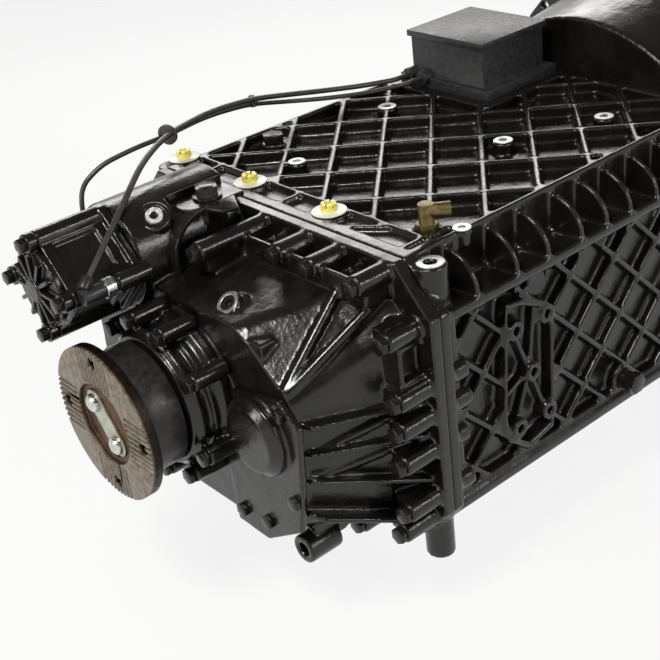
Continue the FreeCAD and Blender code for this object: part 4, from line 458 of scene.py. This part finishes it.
def elbow():
    """The brass elbow, its open end turned forward and to the right."""
    made = bevelled("elbow_fitting", 0.0006)
    x, y = ELBOW
    spin = Matrix.Translation((x, y, 0)) @ Matrix.Rotation(ELBOW_TURN, 4, "Z")
    made.data.transform(spin @ Matrix.Translation((-x, -y, 0)))


def islands(work):
    """The vertices in groups that hang together by edges."""
    seen = set()
    for start in work.verts:
        if start in seen:
            continue
        seen.add(start)
        group = [start]
        for vert in group:
            for edge in vert.link_edges:
                other = edge.other_vert(vert)
                if other not in seen:
                    seen.add(other)
                    group.append(other)
        yield group


def small_ties():
    """The ties round the two cables, each drawn in towards its own middle."""
    made = bevelled("cable_ties", 0.0005)
    work = bmesh.new()
    work.from_mesh(made.data)
    for group in islands(work):
        middle = sum((vert.co for vert in group), Vector()) / len(group)
        for vert in group:
            vert.co = middle + (vert.co - middle) * TIE_SHARE
    work.to_mesh(made.data)
    work.free()


def cap_merlon(work, put, middle, floor_z, crest):
    """One of the blocks that stand round the crown, with a small bevel at its top."""
    corners = 6
    half = 0.32 * 2 * math.pi / CAP_MERLONS
    angles = [middle + half * (2 * k / (corners - 1) - 1) for k in range(corners)]
    sections = []
    for z, grow in ((floor_z - 0.0004, 0.0), (crest - 0.0008, 0.0), (crest, -0.0007)):
        outer = [polar(CROWN_RADIUS + grow, angle, z) for angle in angles]
        inner = [polar(CROWN_BORE - grow, angle, z) for angle in reversed(angles)]
        sections.append([put @ point for point in outer + inner])
    skin(work, sections)


def caps():
    """Transport caps: a wide washer with a raised lip and a crown with six merlons."""
    work = bmesh.new()
    base = TOP + 0.002
    crest = TOP + 0.0108
    floor_z = base + 0.0036
    stem_radius = CAP_WASHER[0][0]
    for x, y in CAP_PLACES:
        put = Matrix.Translation((x, y, 0))
        washer = [(radius, TOP + height) for radius, height in CAP_WASHER]
        turned(work, put, [(stem_radius, CAP_LOW)] + washer)
        crown = [(CROWN_RADIUS + 0.0004, base), (CROWN_RADIUS, floor_z), (CROWN_RADIUS * 0.45, floor_z)]
        turned(work, put, crown)
        for index in range(CAP_MERLONS):
            cap_merlon(work, put, 2 * math.pi * index / CAP_MERLONS, floor_z, crest)
    finish_mesh(work, "slotted_caps", "cap_plastic", node="transport_caps", sharp=CAP_SHARP_ANGLE)


def machined_rings():
    """Bare machined faces where the casing's paint was cut away round threaded holes."""
    work = bmesh.new()
    crown = RING_THICK + RING_CROWN
    for place, axis, outer, inner in RING_PLACES:
        turned(work, frame_at(place, axis), [
            (inner, 0), (inner, RING_THICK), (inner + RING_EDGE, crown), (outer - RING_EDGE, crown),
            (outer, RING_THICK), (outer, 0)], closed=True)
    finish_mesh(work, "machined_rings", "bare_aluminium")


def bracket_strap():
    """The lifting bracket's strap, bent down beside the range cylinder, and the corner of its plate."""
    work = bmesh.new()
    x, y, z = BRACKET
    near = y - 0.023
    far = near + STRAP_WIDE
    centre_x = x - 0.019
    centre_z = z + STRAP_THICK - STRAP_BEND
    angles = [math.pi / 2 * i / STRAP_STEPS for i in range(STRAP_STEPS + 1)]
    line = [(centre_x - STRAP_BEND * math.sin(a), centre_z + STRAP_BEND * math.cos(a), a) for a in angles]
    first, last = line[0], line[-1]
    line.insert(0, (first[0] + 0.012, first[1], 0.0))
    line.append((last[0], last[1] - 0.016, math.pi / 2))
    sections = []
    for place_x, place_z, angle in line:
        inward = Vector((math.sin(angle), 0, -math.cos(angle))) * STRAP_THICK
        outer = Vector((place_x, 0, place_z))
        near_side, far_side = Vector((0, near, 0)), Vector((0, far, 0))
        sections.append([outer + near_side, outer + far_side, outer + inward + far_side,
                         outer + inward + near_side])
    skin(work, sections)
    inset = 0.0005
    skin(work, [[(x + a, y + b, z + height) for a, b in BRACKET_CORNER]
                for height in (inset, STRAP_THICK - inset)])
    finish_mesh(work, "bracket_strap", "painted_bolts", bevel=0.0012)


def air_port():
    """The port on the range cylinder's seat: a cast boss and a bare ring round its bore."""
    put = frame_at(AIR_PORT, AIR_PORT_AXIS)
    boss = bmesh.new()
    turned(boss, put, AIR_PORT_BOSS)
    finish_mesh(boss, "air_port_boss", "casing", bevel=0.0008)
    ring = bmesh.new()
    turned(ring, put, AIR_PORT_RING, closed=True)
    finish_mesh(ring, "air_port_ring", "bare_aluminium")


def switch_clip():
    """The bright clip round the range position switch."""
    work = bmesh.new()
    turned(work, frame_at(SWITCH, FORWARD), SWITCH_CLIP, closed=True)
    finish_mesh(work, "switch_clip", "bright_bolts")


def cylinder_outline(x, half, panel):
    """A section of the range cylinder: a square on its corner, round at its four bolts."""
    points = []
    quarter, eighth = math.pi / 2, math.pi / 4
    for index in range(OUTLINE_STEPS):
        angle = 2 * math.pi * index / OUTLINE_STEPS
        from_boss = (angle + eighth) % quarter - eighth
        from_face = angle % quarter - eighth
        reach = half / math.cos(from_face)
        if abs(math.tan(from_face)) * half < RANGE_PANEL_HALF:
            reach = (half - panel) / math.cos(from_face)
        across = RANGE_BOLT_RING * math.sin(from_boss)
        if abs(across) < RANGE_BOSS:
            boss = RANGE_BOLT_RING * math.cos(from_boss) + math.sqrt(RANGE_BOSS ** 2 - across ** 2)
            reach = max(reach, boss)
        reach = min(reach, RANGE_BOLT_RING + RANGE_BOSS)
        points.append((x, RANGE[0] + reach * math.cos(angle), RANGE[1] + reach * math.sin(angle)))
    return points


def range_cylinder():
    """The cylinder's body with sunk panels between its bolt bosses, its foot and the switch's socket."""
    work = bmesh.new()
    end = RANGE_FRONT - RANGE_FOOT
    sunk = RANGE_PANEL_START + RANGE_PANEL_SLOPE
    skin(work, [cylinder_outline(x, RANGE_HALF, panel) for x, panel in (
        (RANGE_REAR, 0), (RANGE_REAR + RANGE_PANEL_START, 0), (RANGE_REAR + sunk, RANGE_PANEL_DEPTH),
        (end - sunk, RANGE_PANEL_DEPTH), (end - RANGE_PANEL_START, 0), (end, 0))])
    foot_half = RANGE_HALF + RANGE_FOOT_LIP
    overlap = 0.001
    skin(work, [cylinder_outline(x, foot_half, 0) for x in (end - overlap, RANGE_FRONT)])
    y, z = SWITCH[1:]
    turned(work, frame_at((SOCKET_START, y, z), FORWARD),
           [(SOCKET_RADIUS, 0), (SOCKET_RADIUS, RANGE_FRONT - SOCKET_START)])
    web = [(y, z - 0.008), (y + 0.030, z - 0.008), (y + 0.030, z + 0.004), (y, z + 0.004)]
    skin(work, [[(x, *point) for point in web] for x in (SOCKET_START, RANGE_FRONT)])
    made = finish_mesh(work, "range_cylinder_cast", "casing", node="range_cylinder")
    voxel, rounds, keep = RANGE_CASTING
    round_off(made, voxel * (1), rounds, keep)


for node, (voxel, rounds, keep) in CASTINGS.items():
    round_off(copy_of(node, "_cast"), voxel * (1), rounds, keep)
elbow()
small_ties()
caps()
machined_rings()
bracket_strap()
air_port()
switch_clip()
range_cylinder()
for node, width in BEVELLED.items():
    bevelled(node, width)
for name, obj in nodes.items():
    obj.data.materials.clear()
    obj.data.materials.append(MATERIALS[slot_of[name]])


# Stage: floor, world, lamps and camera

FLOOR_SIZE = 16.0
FLOOR_TONE = 0.72
FLOOR_EVEN = 0.86
WORLD_TINT = (1.0, 0.97, 0.93, 1)
WORLD_STRENGTH = 0.15
HORIZON_STRENGTH = 0.9
# heights, as the sine of the angle above the horizon, between which the pale band fades
HORIZON_FADE = (0.20, 0.36)
WHITE = (1, 1, 1, 1)
WARM = (1.0, 0.97, 0.92)
MILD = (1.0, 0.98, 0.95)
# name, place, target, width, height, watts and colour
LAMPS = [
    ("key", (-0.9, -0.5, 1.9), (0.25, 0, 0), 0.6, 0.4, 38, WARM),
    ("side", (0.9, -1.9, 0.9), (0.4, 0, 0), 1.1, 0.3, 14, MILD),
    ("rear", (-1.8, 0.5, 0.8), (0.1, 0, 0), 0.5, 0.6, 11, WARM),
    ("far", (1.75, 1.75, 1.25), (0.4, 0, 0.1), 2.4, 0.8, 34, MILD),
]
# fitted to the flange's circle, the bolt circles and the casing's edges in the photo
FOCAL_PIXELS = 1261.26
IMAGE_WIDTH = 660
SENSOR_WIDTH = 36
CAMERA_PLACE = (-0.4952, -1.0625, 0.7123)
CAMERA_RIGHT = (0.7517, -0.6505, -0.1089)
CAMERA_UP = (0.3902, 0.3055, 0.8686)
CAMERA_BACK = (-0.5317, -0.6954, 0.4834)
CAMERA_REACH = 30


def background_rays(tree):
    """1 for camera, glossy and transmission rays, 0 for the rays that light the object."""
    path = tree.nodes.new("ShaderNodeLightPath")
    seen = path.outputs["Is Camera Ray"]
    for name in ("Is Glossy Ray", "Is Transmission Ray"):
        seen = calc(tree, "MAXIMUM", seen, path.outputs[name])
    return seen


def glowing(tree, kind, color, strength):
    """An emission or background node."""
    made = tree.nodes.new(kind)
    feed(tree, made.inputs["Color"], color)
    feed(tree, made.inputs["Strength"], strength)
    return made.outputs[0]


def mix_into(tree, output, factor, a, b):
    """Blends two shaders by a factor and links them to the output's surface."""
    mix = tree.nodes.new("ShaderNodeMixShader")
    for socket, value in zip(mix.inputs, (factor, a, b)):
        feed(tree, socket, value)
    feed(tree, output.inputs["Surface"], mix.outputs[0])


def floor_material():
    """A white floor that camera, glossy and transmission rays see nearly evenly, with its shadow kept."""
    mat = bpy.data.materials.new("floor_white")
    mat.use_nodes = True
    tree = mat.node_tree
    tree.nodes.clear()
    diffuse = tree.nodes.new("ShaderNodeBsdfDiffuse")
    feed(tree, diffuse.inputs["Color"], (FLOOR_TONE, FLOOR_TONE, FLOOR_TONE, 1))
    glow = glowing(tree, "ShaderNodeEmission", WHITE, 1.0)
    share = calc(tree, "MULTIPLY", background_rays(tree), FLOOR_EVEN)
    mix_into(tree, tree.nodes.new("ShaderNodeOutputMaterial"), share, diffuse.outputs[0], glow)
    return mat


def floor():
    low = cad_box[0][2]
    mesh = bpy.data.meshes.new("floor")
    signs = [(-1, -1), (1, -1), (1, 1), (-1, 1)]
    mesh.from_pydata([(FLOOR_SIZE * a, FLOOR_SIZE * b, low) for a, b in signs], [], [(0, 1, 2, 3)])
    obj = bpy.data.objects.new("floor", mesh)
    scene.collection.objects.link(obj)
    mesh.materials.append(floor_material())


def world():
    """Pale near the horizon for the rays that show the background, dim above and as a light."""
    made = bpy.data.worlds.new("studio")
    scene.world = made
    made.use_nodes = True
    tree = made.node_tree
    tree.nodes.clear()
    dim = glowing(tree, "ShaderNodeBackground", WORLD_TINT, WORLD_STRENGTH)
    pale = glowing(tree, "ShaderNodeBackground", WHITE, HORIZON_STRENGTH)
    split = tree.nodes.new("ShaderNodeSeparateXYZ")
    feed(tree, split.inputs[0], tree.nodes.new("ShaderNodeTexCoord").outputs["Generated"])
    low = tree.nodes.new("ShaderNodeMapRange")
    values = {"Value": split.outputs[2], "From Min": HORIZON_FADE[0], "From Max": HORIZON_FADE[1],
              "To Min": 1.0, "To Max": 0.0}
    for name, value in values.items():
        feed(tree, low.inputs[name], value)
    share = calc(tree, "MULTIPLY", background_rays(tree), low.outputs[0])
    mix_into(tree, tree.nodes.new("ShaderNodeOutputWorld"), share, dim, pale)


def area(name, place, target, width, height, power, color):
    light = bpy.data.lights.new(name, "AREA")
    light.shape = "RECTANGLE"
    light.size = width
    light.size_y = height
    light.energy = power
    light.color = color
    obj = bpy.data.objects.new(name, light)
    obj.location = place
    obj.rotation_euler = (Vector(target) - Vector(place)).to_track_quat("-Z", "Y").to_euler()
    scene.collection.objects.link(obj)


def camera():
    data = bpy.data.cameras.new("photo_camera")
    data.sensor_width = SENSOR_WIDTH
    data.lens = FOCAL_PIXELS / IMAGE_WIDTH * SENSOR_WIDTH
    data.clip_end = CAMERA_REACH
    obj = bpy.data.objects.new("photo_camera", data)
    axes = (Vector(CAMERA_RIGHT), Vector(CAMERA_UP), Vector(CAMERA_BACK))
    obj.matrix_world = Matrix.Translation(CAMERA_PLACE) @ Matrix(axes).transposed().to_4x4()
    scene.collection.objects.link(obj)
    scene.camera = obj


floor()
world()
for lamp in LAMPS:
    area(*lamp)
camera()
scene.view_settings.view_transform = "Standard"
